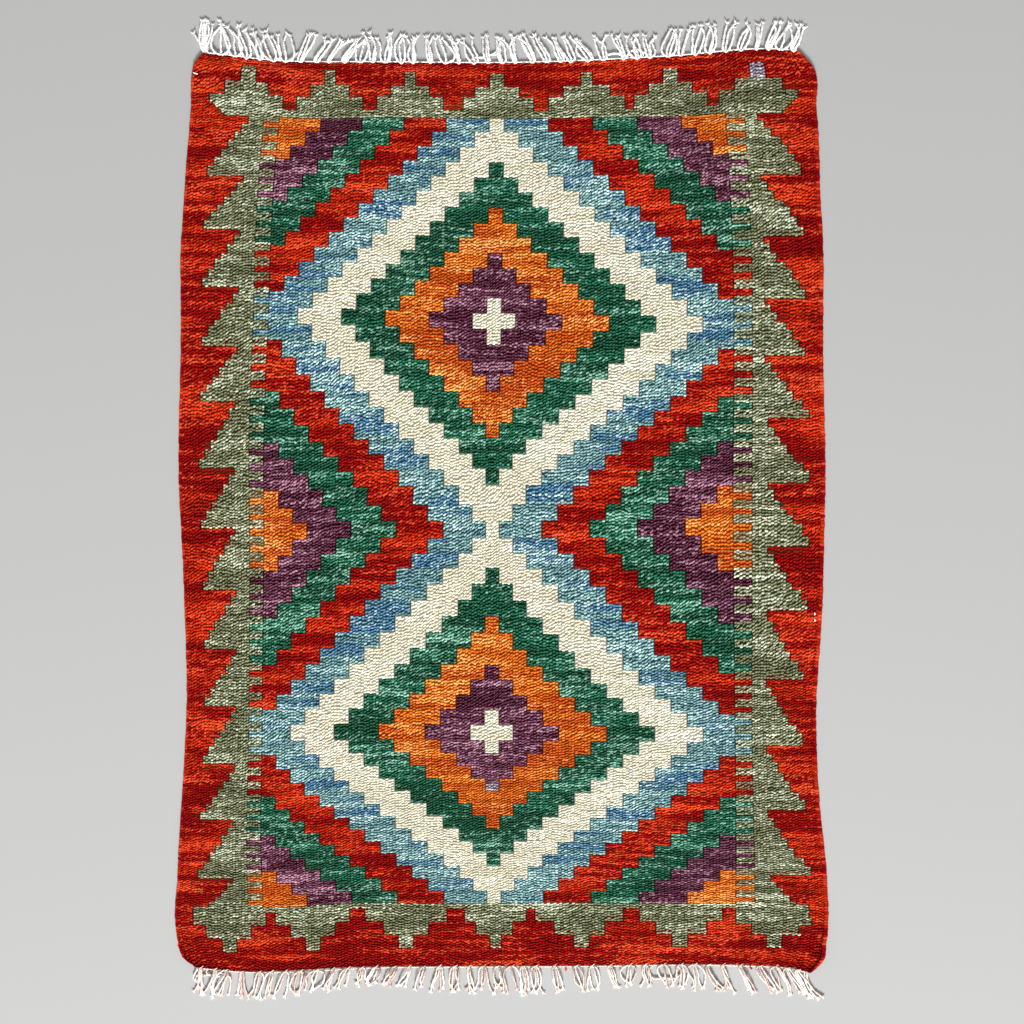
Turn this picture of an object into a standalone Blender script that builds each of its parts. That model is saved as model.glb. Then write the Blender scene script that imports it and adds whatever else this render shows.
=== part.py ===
"""A small flat-woven kilim rug with a fringe at both ends, lying on a level surface.

The frame is Z up, with +Y running along the warps towards the far fringe and the
origin on the surface, under the middle of the rug. The cloth is one sheet with its
warp ridges raised. Each fringe is a twined cord along the end of the cloth, from
which the warp ends come out in small groups. Sizes are in millimetres.
"""

import random

import bmesh
import bpy
import numpy as np

MM = 0.001
CLEARANCE = 0.3

# Cloth
CLOTH_LENGTH = 900.0
CLOTH_THICKNESS = 3.0
WARPS = 171
RIDGE_RISE = 0.35
COLUMNS = 2 * WARPS

# Twined cord that closes each end, and the warp ends that hang from it
CORD_WIDTH = 2.2
CORD_HEIGHT = 2.3
CORD_KNOT_RISE = 0.7
GROUPS = 49
GROUP_SIZES = (3, 2, 3, 2, 2)
ROOT_PITCH = 2.4
STRAND_WIDTH = 1.7
STRAND_HEIGHT = 1.5
TIP_SCALE = 0.7
FRINGE_LENGTH = 24.0
LENGTH_SPREAD = 3.0
TIP_SPREAD = 0.8
STRAND_STEPS = (0.0, 0.3, 0.65, 1.0)

# The two long edges: distance along the rug from its near end, and place across it
LEFT_EDGE = (
    # along, across
    (0, -303.0),
    (9, -314.0),
    (30, -321.5),
    (95, -321.5),
    (170, -317.5),
    (245, -313.0),
    (370, -315.0),
    (500, -320.5),
    (640, -318.0),
    (700, -318.5),
    (760, -315.0),
    (850, -308.5),
    (888, -304.5),
    (900, -297.0),
)
RIGHT_EDGE = (
    # along, across
    (0, 304.0),
    (9, 313.0),
    (30, 318.5),
    (95, 320.0),
    (170, 313.0),
    (245, 309.5),
    (370, 316.0),
    (500, 318.5),
    (640, 316.5),
    (700, 317.0),
    (760, 314.0),
    (850, 310.0),
    (888, 305.0),
    (900, 293.0),
)

# The two ends: place across the rug, and distance from its middle
FAR_EDGE = (
    # across, along
    (-297, 452.0),
    (-275, 450.0),
    (-238, 445.5),
    (-117, 443.0),
    (42, 443.0),
    (160, 448.5),
    (279, 455.0),
    (293, 453.5),
)
NEAR_EDGE = (
    # across, along
    (-303, -449.5),
    (-275, -453.0),
    (-117, -450.0),
    (61, -449.0),
    (240, -448.5),
    (279, -450.5),
    (304, -454.5),
)

# Corners that have curled up: two points of the fold line, how far the corner
# reaches past it, and how high it stands
CORNER_CURLS = (
    # line from, line to, reach, height
    ((321.0, -348.0), (279.0, -456.0), 27.0, 8.0),
    ((-321.0, -395.0), (-268.0, -454.0), 26.0, 4.0),
    ((276.0, 458.0), (314.0, 395.0), 22.0, 2.5),
    ((-318.0, 398.0), (-274.0, 456.0), 20.0, 1.5),
)

# Low swells where the sides don't lie quite flat
SWELLS = (
    # across, along, half width, half length, height
    (-322.0, 200.0, 30.0, 90.0, 1.2),
    (320.0, 30.0, 26.0, 80.0, 1.5),
    (-322.0, -330.0, 24.0, 60.0, 1.0),
)

# Rows of points along the cloth, and columns of points on its underside
ROW_STATIONS = (0, 9, 30, 95, 170, 245, 370, 500, 640, 760, 850, 888, 900)
UNDER_COLUMNS = (*range(0, 36, 9), *range(36, 307, 18), *range(315, COLUMNS + 1, 9))

# Where the twined cord and the fringe run, and how the fringe leans
FRINGES = {
    # name: end, first root, last root, seed
    "fringe_far": (1, -294.0, 290.0, 11),
    "fringe_near": (-1, -299.0, 300.0, 23),
}
LEAN = {
    # name: (across, sideways drift at the tips)
    "fringe_far": ((-300, -1.5), (-180, 2.0), (-60, -1.5), (60, 1.5), (180, 3.5), (300, 4.0)),
    "fringe_near": ((-300, 2.0), (-180, -2.5), (-60, 1.5), (60, -2.0), (180, 2.5), (300, 3.0)),
}

# The heavy lock at the far left corner
LOCK_WIDTH = 3.6
LOCK_HEIGHT = 2.2
LOCK_LENGTH = 32.0

WOOL_RED = (0.42, 0.03, 0.02, 1.0)
COTTON_WHITE = (0.82, 0.79, 0.74, 1.0)


def smooth_through(table, at):
    """Reads a smooth curve through a two-column table."""
    knots = np.array([row[0] for row in table], float)
    values = np.array([row[1] for row in table], float)
    slopes = np.gradient(values, knots)
    at = float(np.clip(at, knots[0], knots[-1]))
    i = int(np.clip(np.searchsorted(knots, at) - 1, 0, len(knots) - 2))
    span = knots[i + 1] - knots[i]
    t = (at - knots[i]) / span
    start = (1 + 2 * t) * (1 - t) ** 2
    leave = t * (1 - t) ** 2 * span
    end = t * t * (3 - 2 * t)
    arrive = t * t * (t - 1) * span
    return (
        start * values[i]
        + leave * slopes[i]
        + end * values[i + 1]
        + arrive * slopes[i + 1]
    )


def cloth_point(column, along):
    """Place on the rug of a warp column, at a distance from the near end."""
    u = column / COLUMNS
    v = along / CLOTH_LENGTH
    near_x = (1 - u) * LEFT_EDGE[0][1] + u * RIGHT_EDGE[0][1]
    far_x = (1 - u) * LEFT_EDGE[-1][1] + u * RIGHT_EDGE[-1][1]
    near_y = smooth_through(NEAR_EDGE, near_x)
    far_y = smooth_through(FAR_EDGE, far_x)
    x = (1 - u) * smooth_through(LEFT_EDGE, along) + u * smooth_through(RIGHT_EDGE, along)
    return x, (1 - v) * near_y + v * far_y


def lift(x, y):
    """Height of the underside above the surface."""
    height = 0.0
    for (ax, ay), (bx, by), reach, rise in CORNER_CURLS:
        span = np.hypot(bx - ax, by - ay)
        beyond = abs(bx - ax) * (y - ay) - (by - ay) * np.sign(bx - ax) * (x - ax)
        outward = np.sign(ay) * beyond / span
        height += rise * (max(0.0, outward) / reach) ** 2
    for cx, cy, half_x, half_y, rise in SWELLS:
        away = ((x - cx) / half_x) ** 2 + ((y - cy) / half_y) ** 2
        height += rise * max(0.0, 1 - away) ** 2
    return height


def finish_object(name, bm, colour):
    """Turns a bmesh in millimetres into an object in metres with its own material."""
    bmesh.ops.recalc_face_normals(bm, faces=bm.faces)
    bmesh.ops.scale(bm, vec=(MM, MM, MM), verts=bm.verts)
    mesh = bpy.data.meshes.new(name)
    bm.to_mesh(mesh)
    bm.free()
    material = bpy.data.materials.new(name + "_yarn")
    material.use_nodes = True
    shader = material.node_tree.nodes["Principled BSDF"]
    shader.inputs["Base Color"].default_value = colour
    shader.inputs["Roughness"].default_value = 0.9
    shader.inputs["Metallic"].default_value = 0.0
    mesh.materials.append(material)
    thing = bpy.data.objects.new(name, mesh)
    bpy.context.scene.collection.objects.link(thing)
    return thing


def build_cloth():
    """The sheet: ridged on top, and flat below but for its curled corners."""
    bm = bmesh.new()
    top = []
    under = []
    for along in ROW_STATIONS:
        row = []
        for column in range(COLUMNS + 1):
            x, y = cloth_point(column, along)
            ridge = RIDGE_RISE * (column % 2) - RIDGE_RISE / 2
            row.append(bm.verts.new((x, y, lift(x, y) + CLOTH_THICKNESS + ridge)))
        top.append(row)
        low = []
        for column in UNDER_COLUMNS:
            x, y = cloth_point(column, along)
            low.append(bm.verts.new((x, y, lift(x, y))))
        under.append(low)

    for near_row, far_row in zip(top, top[1:]):
        for c in range(COLUMNS):
            bm.faces.new((near_row[c], near_row[c + 1], far_row[c + 1], far_row[c]))
    for near_row, far_row in zip(under, under[1:]):
        for k in range(len(UNDER_COLUMNS) - 1):
            bm.faces.new((near_row[k], far_row[k], far_row[k + 1], near_row[k + 1]))
    for r in range(len(ROW_STATIONS) - 1):
        bm.faces.new((under[r][0], under[r + 1][0], top[r + 1][0], top[r][0]))
        bm.faces.new((under[r][-1], top[r][-1], top[r + 1][-1], under[r + 1][-1]))
    for low, row in ((under[0], top[0]), (under[-1], top[-1])):
        for k, (start, stop) in enumerate(zip(UNDER_COLUMNS, UNDER_COLUMNS[1:])):
            bm.faces.new([low[k], low[k + 1]] + row[start : stop + 1][::-1])
    return finish_object("kilim_cloth", bm, WOOL_RED)


def strand_path(root_x, root_y, tip_x, length, outward):
    """Centre line of one warp end, from the cord to its tip."""
    points = []
    for step in STRAND_STEPS:
        ease = step * (1.6 - 0.6 * step)
        points.append((root_x + (tip_x - root_x) * ease, root_y + outward * length * step))
    return points


def grow_strand(bm, ring, path, width, height):
    """Extrudes a three-sided strand from its root ring, level on the surface."""
    for i in range(1, len(path)):
        scale = 1 - (1 - TIP_SCALE) * i / (len(path) - 1)
        before = path[i - 1]
        after = path[min(i + 1, len(path) - 1)]
        along = np.array((after[0] - before[0], after[1] - before[1]))
        along /= np.linalg.norm(along)
        side = np.array((abs(along[1]), -along[0] * np.sign(along[1])))
        half = side * width * scale / 2
        x, y = path[i]
        spots = (
            (x - half[0], y - half[1], 0.0),
            (x, y, height * scale),
            (x + half[0], y + half[1], 0.0),
        )
        following = [bm.verts.new(spot) for spot in spots]
        for a, b in ((0, 1), (1, 2), (2, 0)):
            bm.faces.new((ring[a], ring[b], following[b], following[a]))
        ring = following
    bm.faces.new(ring)


def group_places(first, last, rng):
    """Splits the cord into uneven lengths, one for each group of warp ends."""
    widths = np.array([rng.uniform(0.85, 1.15) for _ in range(GROUPS)])
    return first + (last - first) * np.concatenate(([0.0], np.cumsum(widths) / widths.sum()))


def build_fringe(name):
    """A twined cord along one end of the cloth, with the warp ends fused to it."""
    outward, first, last, seed = FRINGES[name]
    rng = random.Random(seed)
    edge = FAR_EDGE if outward > 0 else NEAR_EDGE
    bounds = group_places(first, last, rng)
    bm = bmesh.new()

    def corners(x, top):
        """Inner low, inner high, outer high and outer low corners of the cord."""
        inner = smooth_through(edge, x) + outward * CLEARANCE
        outer = inner + outward * CORD_WIDTH
        spots = ((inner, 0.0), (inner, top), (outer, top), (outer, 0.0))
        return [bm.verts.new((x, y, z)) for y, z in spots]

    start = corners(bounds[0], CORD_HEIGHT)
    bm.faces.new(start)
    for g in range(GROUPS):
        stop = corners(bounds[g + 1], CORD_HEIGHT)
        middle_x = (bounds[g] + bounds[g + 1]) / 2
        middle = []
        for a, b in zip(start, stop):
            spot = (a.co + b.co) / 2
            if spot.z > 0:
                spot.z += CORD_KNOT_RISE
            middle.append(bm.verts.new(spot))

        count = GROUP_SIZES[g % len(GROUP_SIZES)]
        tip_pitch = (bounds[g + 1] - bounds[g]) / count
        wall = [start[3]]
        floor_line = [start[3]]
        rooted = []
        for s in range(count):
            is_lock = outward > 0 and g == 0 and s == 0
            width = LOCK_WIDTH if is_lock else STRAND_WIDTH
            height = LOCK_HEIGHT if is_lock else STRAND_HEIGHT
            x = middle_x + ROOT_PITCH * (s - (count - 1) / 2) - (width - STRAND_WIDTH) / 2
            share = (x - bounds[g]) / (bounds[g + 1] - bounds[g])
            y = start[3].co.y + (stop[3].co.y - start[3].co.y) * share
            slope = (stop[3].co.y - start[3].co.y) / (bounds[g + 1] - bounds[g])
            ring = [
                bm.verts.new((x - width / 2, y - slope * width / 2, 0.0)),
                bm.verts.new((x, y, height)),
                bm.verts.new((x + width / 2, y + slope * width / 2, 0.0)),
            ]
            wall += ring
            floor_line += [ring[0], ring[2]]
            tip_x = middle_x + tip_pitch * (s - (count - 1) / 2)
            tip_x += rng.uniform(-TIP_SPREAD, TIP_SPREAD) + smooth_through(LEAN[name], middle_x)
            length = FRINGE_LENGTH + rng.uniform(-LENGTH_SPREAD, LENGTH_SPREAD)
            if is_lock:
                length = LOCK_LENGTH
                tip_x -= LOCK_WIDTH
            path = strand_path(x, y, tip_x, length, outward)
            rooted.append((ring, path, width, height))

        bm.faces.new(wall + [stop[3], stop[2], middle[2], start[2]])
        bm.faces.new(floor_line + [stop[3], stop[0], start[0]])
        bm.faces.new((start[0], stop[0], stop[1], middle[1], start[1]))
        bm.faces.new((start[1], middle[1], middle[2], start[2]))
        bm.faces.new((middle[1], stop[1], stop[2], middle[2]))
        for spare in (middle[0], middle[3]):
            bm.verts.remove(spare)
        for ring, path, width, height in rooted:
            grow_strand(bm, ring, path, width, height)
        start = stop
    bm.faces.new(start)
    return finish_object(name, bm, COTTON_WHITE)


def centre_on_origin(things):
    """Moves the rug so that the middle of its outline lies over the origin."""
    corners = np.array([v.co for thing in things for v in thing.data.vertices])
    middle = (corners.min(axis=0) + corners.max(axis=0)) / 2
    for thing in things:
        thing.location = (-middle[0], -middle[1], 0.0)


def main():
    for old in list(bpy.data.objects):
        bpy.data.objects.remove(old, do_unlink=True)
    things = [build_cloth()]
    for name in FRINGES:
        things.append(build_fringe(name))
    centre_on_origin(things)


main()
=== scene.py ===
import math
import random
from types import SimpleNamespace

import bpy
import numpy as np
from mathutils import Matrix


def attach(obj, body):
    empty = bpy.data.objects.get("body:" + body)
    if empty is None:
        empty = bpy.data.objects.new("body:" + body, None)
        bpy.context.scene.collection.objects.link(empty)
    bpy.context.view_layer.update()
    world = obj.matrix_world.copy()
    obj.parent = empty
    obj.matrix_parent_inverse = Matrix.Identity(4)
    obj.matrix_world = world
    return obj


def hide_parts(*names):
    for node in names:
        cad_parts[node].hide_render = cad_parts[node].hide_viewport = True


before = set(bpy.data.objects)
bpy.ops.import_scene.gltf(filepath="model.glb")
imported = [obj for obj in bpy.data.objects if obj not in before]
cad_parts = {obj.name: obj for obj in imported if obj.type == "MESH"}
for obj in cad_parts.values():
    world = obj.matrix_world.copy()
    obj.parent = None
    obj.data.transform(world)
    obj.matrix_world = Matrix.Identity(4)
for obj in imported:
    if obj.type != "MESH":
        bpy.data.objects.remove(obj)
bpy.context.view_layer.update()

MM = 0.001

# ---------------------------------------------------------------- the cloth's outline, in mm
# The same values as in the part's source. CENTRE moves the middle of the rug over the origin.
CENTRE = (0.75, -0.98)
CLOTH_LENGTH = 900.0

# Distance along the rug from its near end, and place across it
LEFT_EDGE = (
    (0, -303.0), (9, -314.0), (30, -321.5), (95, -321.5), (170, -317.5), (245, -313.0),
    (370, -315.0), (500, -320.5), (640, -318.0), (700, -318.5), (760, -315.0),
    (850, -308.5), (888, -304.5), (900, -297.0),
)
RIGHT_EDGE = (
    (0, 304.0), (9, 313.0), (30, 318.5), (95, 320.0), (170, 313.0), (245, 309.5),
    (370, 316.0), (500, 318.5), (640, 316.5), (700, 317.0), (760, 314.0),
    (850, 310.0), (888, 305.0), (900, 293.0),
)
# Place across the rug, and distance from its middle
FAR_EDGE = (
    (-297, 452.0), (-275, 450.0), (-238, 445.5), (-117, 443.0),
    (42, 443.0), (160, 448.5), (279, 455.0), (293, 453.5),
)
NEAR_EDGE = (
    (-303, -449.5), (-275, -453.0), (-117, -450.0), (61, -449.0),
    (240, -448.5), (279, -450.5), (304, -454.5),
)
# Corners that have curled up: fold line from, fold line to, reach, height
CORNER_CURLS = (
    ((321.0, -348.0), (279.0, -456.0), 27.0, 8.0),
    ((-321.0, -395.0), (-268.0, -454.0), 26.0, 4.0),
    ((276.0, 458.0), (314.0, 395.0), 22.0, 2.5),
    ((-318.0, 398.0), (-274.0, 456.0), 20.0, 1.5),
)
# Low swells of the sides: across, along, half width, half length, height
SWELLS = (
    (-322.0, 200.0, 30.0, 90.0, 1.2),
    (320.0, 30.0, 26.0, 80.0, 1.5),
    (-322.0, -330.0, 24.0, 60.0, 1.0),
)

# ---------------------------------------------------------------- the weaver's chart
# Warp columns from each side: margin, saw teeth on their stem, comb, and then the field
WARPS = 213
MARGIN = 6
LEFT_SAW = (1, 3, 5, 7, 9, 11, 13)
RIGHT_SAW = (-1, 1, 4, 6, 8, 10, 12)
FAR_RIGHT_SAW = (0, 2, 4, 6, 9, 11, 13)
FAR_RIGHT_SAW_START = 205
LEFT_COMB_START = 24
RIGHT_COMB_START = 23
FIELD_START = 29
AXIS = WARPS / 2

# Weft rows from the near end: near border, two diamonds that share their waist, far border
ROWS = 310
NEAR_BORDER_ROWS = 24
STEP_ROWS = 5
FIELD_STEPS = 53
FAR_BORDER_START = NEAR_BORDER_ROWS + STEP_ROWS * FIELD_STEPS
NEAR_CENTRE_STEP = 13
FAR_CENTRE_STEP = 39
STEP_WARPS = 5
# Steps of the field at which the waist between the diamonds starts and stops
WAIST_STEPS = (18, 36)

YARNS = ("red", "sage", "cream", "blue", "green", "orange", "purple", "lilac")
RED, SAGE, CREAM, BLUE, GREEN, ORANGE, PURPLE, LILAC = range(len(YARNS))

# Rings of a diamond, as the number of steps from its middle that each one ends at
RINGS = (
    (1, CREAM), (4, PURPLE), (7, ORANGE), (10, GREEN), (13, CREAM),
    (16, BLUE), (19, RED), (22, GREEN), (25, PURPLE), (99, ORANGE),
)

# Rows where the flat edges of the saw teeth lie
LEFT_TEETH = (17, 36, 60, 81, 100, 119, 138, 157, 176, 196, 212, 230, 249, 267, 289)
RIGHT_TEETH = (16, 37, 64, 88, 112, 133, 151, 170, 192, 212, 229, 248, 267, 289)

# Stepped motifs of the two end borders: middle of each in warps from the axis, and its width
NEAR_MOTIFS = (
    (-88.8, 1.0), (-61.0, 0.98), (-29.9, 1.04), (0.3, 0.87), (28.7, 1.1), (60.3, 1.04),
    (89.7, 1.0),
)
FAR_MOTIFS = (
    (-88.2, 0.96), (-59.7, 0.97), (-30.3, 0.97), (0.2, 0.99), (30.4, 1.03), (59.2, 1.04),
    (88.2, 1.0),
)
# Their layers: half width in warps, and the rows that each one fills
NEAR_LAYERS = ((300.0, 22, 24), (12.6, 17, 22), (7.5, 12, 17), (2.45, 7, 12))
FAR_LAYERS = ((300.0, 289, 292), (12.3, 292, 297), (7.4, 297, 301), (2.3, 301, 306))
# The foot of the far motifs tapers at the sides: up to this row, by this many warps a row
FAR_FOOT_ROW = 294
FAR_FOOT_TAPER = 0.9
# Small places of another yarn: half width and rows of a lilac block on the axis, the far motif
# with a lilac tip, and the column and row of one cream float
LILAC_BLOCK = (3, 69, 72)
LILAC_MOTIF = 6
CREAM_FLOAT = (204, 12)

# ---------------------------------------------------------------- how the chart lies on the cloth
# Guide warps: distance along the rug, and place across it
LEFT_GUIDE = (
    (0, -236.0), (70, -237.0), (125, -239.0), (225, -238.0), (330, -237.0), (430, -236.0),
    (530, -236.0), (590, -234.0), (640, -231.5), (720, -229.0), (760, -227.0), (800, -224.5),
    (850, -220.5), (900, -219.0),
)
AXIS_GUIDE = (
    (0, -8.5), (66, -8.9), (236, -11.2), (400, -10.4), (530, -10.4), (645, -8.9),
    (713, -7.9), (848, -6.0), (900, -6.0),
)
RIGHT_GUIDE = (
    (0, 229.5), (130, 230.0), (300, 228.5), (400, 227.5), (500, 227.0),
    (600, 228.0), (700, 227.0), (780, 223.5), (850, 219.5), (900, 218.5),
)
# The warps crowd together round the axis: distance along, and half the width of the crowd
CROWD_WARPS = 12.5
CROWD_WIDTH = (
    (0, 35.5), (120, 33.5), (236, 35.0), (400, 33.5), (530, 33.0), (645, 35.0), (760, 36.0),
    (900, 36.5),
)
# Guide wefts: row, and its distance along the rug at the axis
AXIS_ROWS = (
    (0, 0.0), (24, 63.1), (89, 225.2), (94, 240.6), (114, 300.2), (139, 381.5), (144, 397.3),
    (149, 411.8), (154, 426.8), (159, 443.7), (164, 460.2), (169, 479.7), (174, 496.0),
    (199, 573.0), (219, 635.3), (224, 650.7), (254, 741.0), (284, 831.8), (289, 845.0),
    (310, 900.0),
)
# How far the wefts bow away from the axis line at the two guide warps
LEFT_BOW = (
    (0, 0.0), (12, 1.0), (24, 1.0), (49, -3.0), (74, -2.5), (92, 4.0), (109, 4.0), (125, 1.5),
    (141, -1.5), (157, 1.5), (169, -4.0), (184, -4.0), (199, 1.0), (215, 6.0), (232, 9.0),
    (247, 8.0), (264, 6.5), (278, 2.0), (289, 0.0), (297, 0.0), (305, 5.0), (310, 0.0),
)
RIGHT_BOW = (
    (0, 0.0), (24, -3.0), (49, -10.5), (70, -10.0), (92, -6.0), (109, -12.5), (125, -14.0),
    (141, -11.0), (157, -1.5), (169, -7.0), (184, -11.0), (199, -13.0), (215, -13.0),
    (232, -8.0), (247, -5.0), (264, -1.5), (275, -2.0), (289, -5.5), (310, 0.0),
)
BOW_POWER = 1.2
# How far the warps halfway to each guide warp lie to the left of an even spread
LEFT_SLACK = ((0, 0.0), (40, 0.5), (90, 2.8), (420, 3.2), (450, 2.8), (485, 0.3), (900, 0.3))
RIGHT_SLACK = (
    (0, 0.0), (83, 1.8), (123, 1.8), (165, 0.5), (245, 0.3), (290, 0.0), (480, 0.3),
    (560, -0.8), (640, -1.3), (765, -1.6), (800, 0.0), (900, 0.0),
)
RIGHT_SLACK_POWER = 0.6
# How far into the side borders the shape of the ends is felt
END_PULL = 45.0
# Slow waves of the wefts: their height, their stretch across the warps, their scale in rows,
# and the distance from an end of the rug over which they rise
WEFT_WAVE = 0.5
WEFT_WAVE_STRETCH = 1.4
WEFT_WAVE_SCALE = 9
WEFT_WAVE_RISE = 60.0
# A soft field adds up some waves. Their lengths are shares of its scale
WAVE_COUNT = 5
WAVE_LENGTHS = (0.6, 1.6)
WAVE_LEVEL = 3

# ---------------------------------------------------------------- sizes of the weave
# Heights in mm: top of the ground, and over it a float's crown, its ends and its shoulders
BASE_TOP = 2.2
FLOAT_CROWN = 0.95
FLOAT_DIP = 0.3
FLOAT_SHOULDER_DIP = 0.1
# Reach of a float in warps, and beside a slit, and the share of it that its shoulders lie at
FLOAT_REACH = 0.8
SLIT_REACH = 0.37
SHOULDER_SHARE = 0.4
SLIT_SHOULDER_SHARE = 0.66
FLOAT_HALF_WIDTH = 0.48
# Slant of the floats in rows a warp, which grows from the near end
FLOAT_SLANT = 0.36
SLANT_ALONG = ((0, 0.08), (24, 0.2), (70, FLOAT_SLANT), (310, FLOAT_SLANT))
SLANT_WAVE = 0.22
SLANT_WAVE_STRETCH = 1.2
SLANT_WAVE_SCALE = 4
# Unevenness from float to float
COLUMN_SCATTER = 0.06
ROW_SCATTER = 0.09
SLANT_SCATTER = 0.2
REACH_RANGE = (0.88, 1.1)
WIDTH_RANGE = (0.78, 1.25)
CROWN_RANGE = (0.5, 1.25)
SLOW_SLIP, QUICK_SLIP = 0.24, 0.15
# Where the yarn changes from row to row, floats slip and slant less, and pairs draw level
CHANGE_SLIP = 0.3
CHANGE_SLANT = 0.5
CHANGE_LEVEL = 0.13
# How far up a float each of its eight points lies, from its creases to its crown, which sets the
# painted shade in its creases and the painted highlight on its crown
FLOAT_CRESTS = (0.1, 0.1, 0.0, 1.0, 0.0, 0.0, 1.0, 0.0)
# Outer warps on the left and right that the wefts wrap as one thick edge, and its height in mm
LEFT_SELVEDGE, RIGHT_SELVEDGE = 1.1, 1.5
SELVEDGE_TOP = 3.3


def smooth_through(table, at):
    """Reads a smooth curve through a two-column table, at any array of places."""
    knots = np.array([row[0] for row in table], float)
    values = np.array([row[1] for row in table], float)
    slopes = np.gradient(values, knots)
    at = np.clip(np.asarray(at, float), knots[0], knots[-1])
    i = np.clip(np.searchsorted(knots, at) - 1, 0, len(knots) - 2)
    span = knots[i + 1] - knots[i]
    t = (at - knots[i]) / span
    start = (1 + 2 * t) * (1 - t) ** 2
    leave = t * (1 - t) ** 2 * span
    end = t * t * (3 - 2 * t)
    arrive = t * t * (t - 1) * span
    return (
        start * values[i]
        + leave * slopes[i]
        + end * values[i + 1]
        + arrive * slopes[i + 1]
    )


def straight_through(table, at):
    """Reads a two-column table along straight lines."""
    return np.interp(at, [row[0] for row in table], [row[1] for row in table])


def soft_waves(x, y, seed, scale):
    """A slow wavy field between about -1 and 1, for the unevenness of handwork."""
    rng = np.random.default_rng(seed)
    total = np.zeros(np.broadcast(x, y).shape)
    for _ in range(WAVE_COUNT):
        angle = rng.uniform(0, math.pi)
        length = scale * rng.uniform(*WAVE_LENGTHS)
        phase = rng.uniform(0, 2 * math.pi)
        total += np.sin((x * math.cos(angle) + y * math.sin(angle)) / length + phase)
    return total / WAVE_LEVEL


def end_lines(share):
    """Distance from the middle of the near and far end, at a share of the rug's width."""
    near_x = (1 - share) * LEFT_EDGE[0][1] + share * RIGHT_EDGE[0][1]
    far_x = (1 - share) * LEFT_EDGE[-1][1] + share * RIGHT_EDGE[-1][1]
    return smooth_through(NEAR_EDGE, near_x), smooth_through(FAR_EDGE, far_x)


def place_along(columns, rows, along):
    """Place along the rug of each crossing, with the bow and the waves of the wefts."""
    inner = np.clip(columns, FIELD_START, WARPS - FIELD_START)
    near, far = end_lines(inner / WARPS)
    side = (inner - AXIS) / (AXIS - FIELD_START)
    bow = np.where(
        side < 0, straight_through(LEFT_BOW, rows), straight_through(RIGHT_BOW, rows)
    )
    y = near + (far - near) * along / CLOTH_LENGTH + bow * np.abs(side) ** BOW_POWER
    corner_near, corner_far = end_lines(columns / WARPS)
    y = y + (corner_near - near) * np.exp(-along / END_PULL)
    y = y + (corner_far - far) * np.exp((along - CLOTH_LENGTH) / END_PULL)
    from_end = np.minimum(along, CLOTH_LENGTH - along)
    height = WEFT_WAVE * np.clip(from_end / WEFT_WAVE_RISE, 0, 1)
    waves = soft_waves(columns * WEFT_WAVE_STRETCH, rows, seed=9, scale=WEFT_WAVE_SCALE)
    return y + height * waves


def place_across(columns, along):
    """Place across the rug of each crossing, between the guide warps on both sides of it."""
    middle = smooth_through(AXIS_GUIDE, along)
    crowd = smooth_through(CROWD_WIDTH, along)
    lines = (
        smooth_through(LEFT_EDGE, along), smooth_through(LEFT_GUIDE, along), middle - crowd,
        middle + crowd, smooth_through(RIGHT_GUIDE, along), smooth_through(RIGHT_EDGE, along),
    )
    stations = (
        0, FIELD_START, AXIS - CROWD_WARPS, AXIS + CROWD_WARPS, WARPS - FIELD_START, WARPS
    )
    slacks = (
        (0.0, 1.0), (straight_through(LEFT_SLACK, along), 1.0), (0.0, 1.0),
        (straight_through(RIGHT_SLACK, along), RIGHT_SLACK_POWER), (0.0, 1.0),
    )
    x = lines[0]
    for k, (slack, power) in enumerate(slacks):
        share = (columns - stations[k]) / (stations[k + 1] - stations[k])
        bulge = slack * np.sin(math.pi * np.clip(share, 0, 1) ** power)
        even = lines[k] + (lines[k + 1] - lines[k]) * share
        x = np.where(columns >= stations[k], even - bulge, x)
    return x


def place(columns, rows):
    """Where warp columns and weft rows of the chart lie on the cloth, in mm."""
    columns, rows = np.broadcast_arrays(np.asarray(columns, float), np.asarray(rows, float))
    along = straight_through(AXIS_ROWS, rows)
    x, y = place_across(columns, along), place_along(columns, rows, along)
    return x + CENTRE[0], y + CENTRE[1]


def lift(x, y):
    """Height of the cloth's underside above the surface that it lies on."""
    x = np.asarray(x, float) - CENTRE[0]
    y = np.asarray(y, float) - CENTRE[1]
    height = np.zeros(np.broadcast(x, y).shape)
    for (ax, ay), (bx, by), reach, rise in CORNER_CURLS:
        span = math.hypot(bx - ax, by - ay)
        beyond = abs(bx - ax) * (y - ay) - (by - ay) * np.sign(bx - ax) * (x - ax)
        outward = np.sign(ay) * beyond / span
        height += rise * (np.maximum(0.0, outward) / reach) ** 2
    for cx, cy, half_x, half_y, rise in SWELLS:
        away = ((x - cx) / half_x) ** 2 + ((y - cy) / half_y) ** 2
        height += rise * np.maximum(0.0, 1 - away) ** 2
    return height


# ---------------------------------------------------------------- reading the chart
def ring_yarns(across_steps, along_steps):
    """Yarn of the ring that a cell of the field falls in."""
    ends = np.array([ring[0] for ring in RINGS])
    yarns = np.array([ring[1] for ring in RINGS])
    return yarns[np.searchsorted(ends, across_steps + along_steps)]


def field_yarns(columns, rows):
    """The two nested diamonds."""
    step = (rows - NEAR_BORDER_ROWS) // STEP_ROWS
    along = np.minimum(np.abs(step - NEAR_CENTRE_STEP), np.abs(step - FAR_CENTRE_STEP))
    across = np.round(np.abs(columns + 0.5 - AXIS) / STEP_WARPS).astype(int)
    return ring_yarns(across, along)


def tooth_edge(rows, teeth, saw):
    """Outer edge of the saw at each row, in warps from the margin: none at a tooth's flat edge."""
    flat = np.array(teeth)
    k = np.clip(np.searchsorted(flat, rows, side="right") - 1, 0, len(flat) - 2)
    share = (rows - flat[k]) / (flat[k + 1] - flat[k])
    level = np.clip(np.floor(len(saw) * share).astype(int), 0, len(saw) - 1)
    return np.array(saw)[level]


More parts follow.
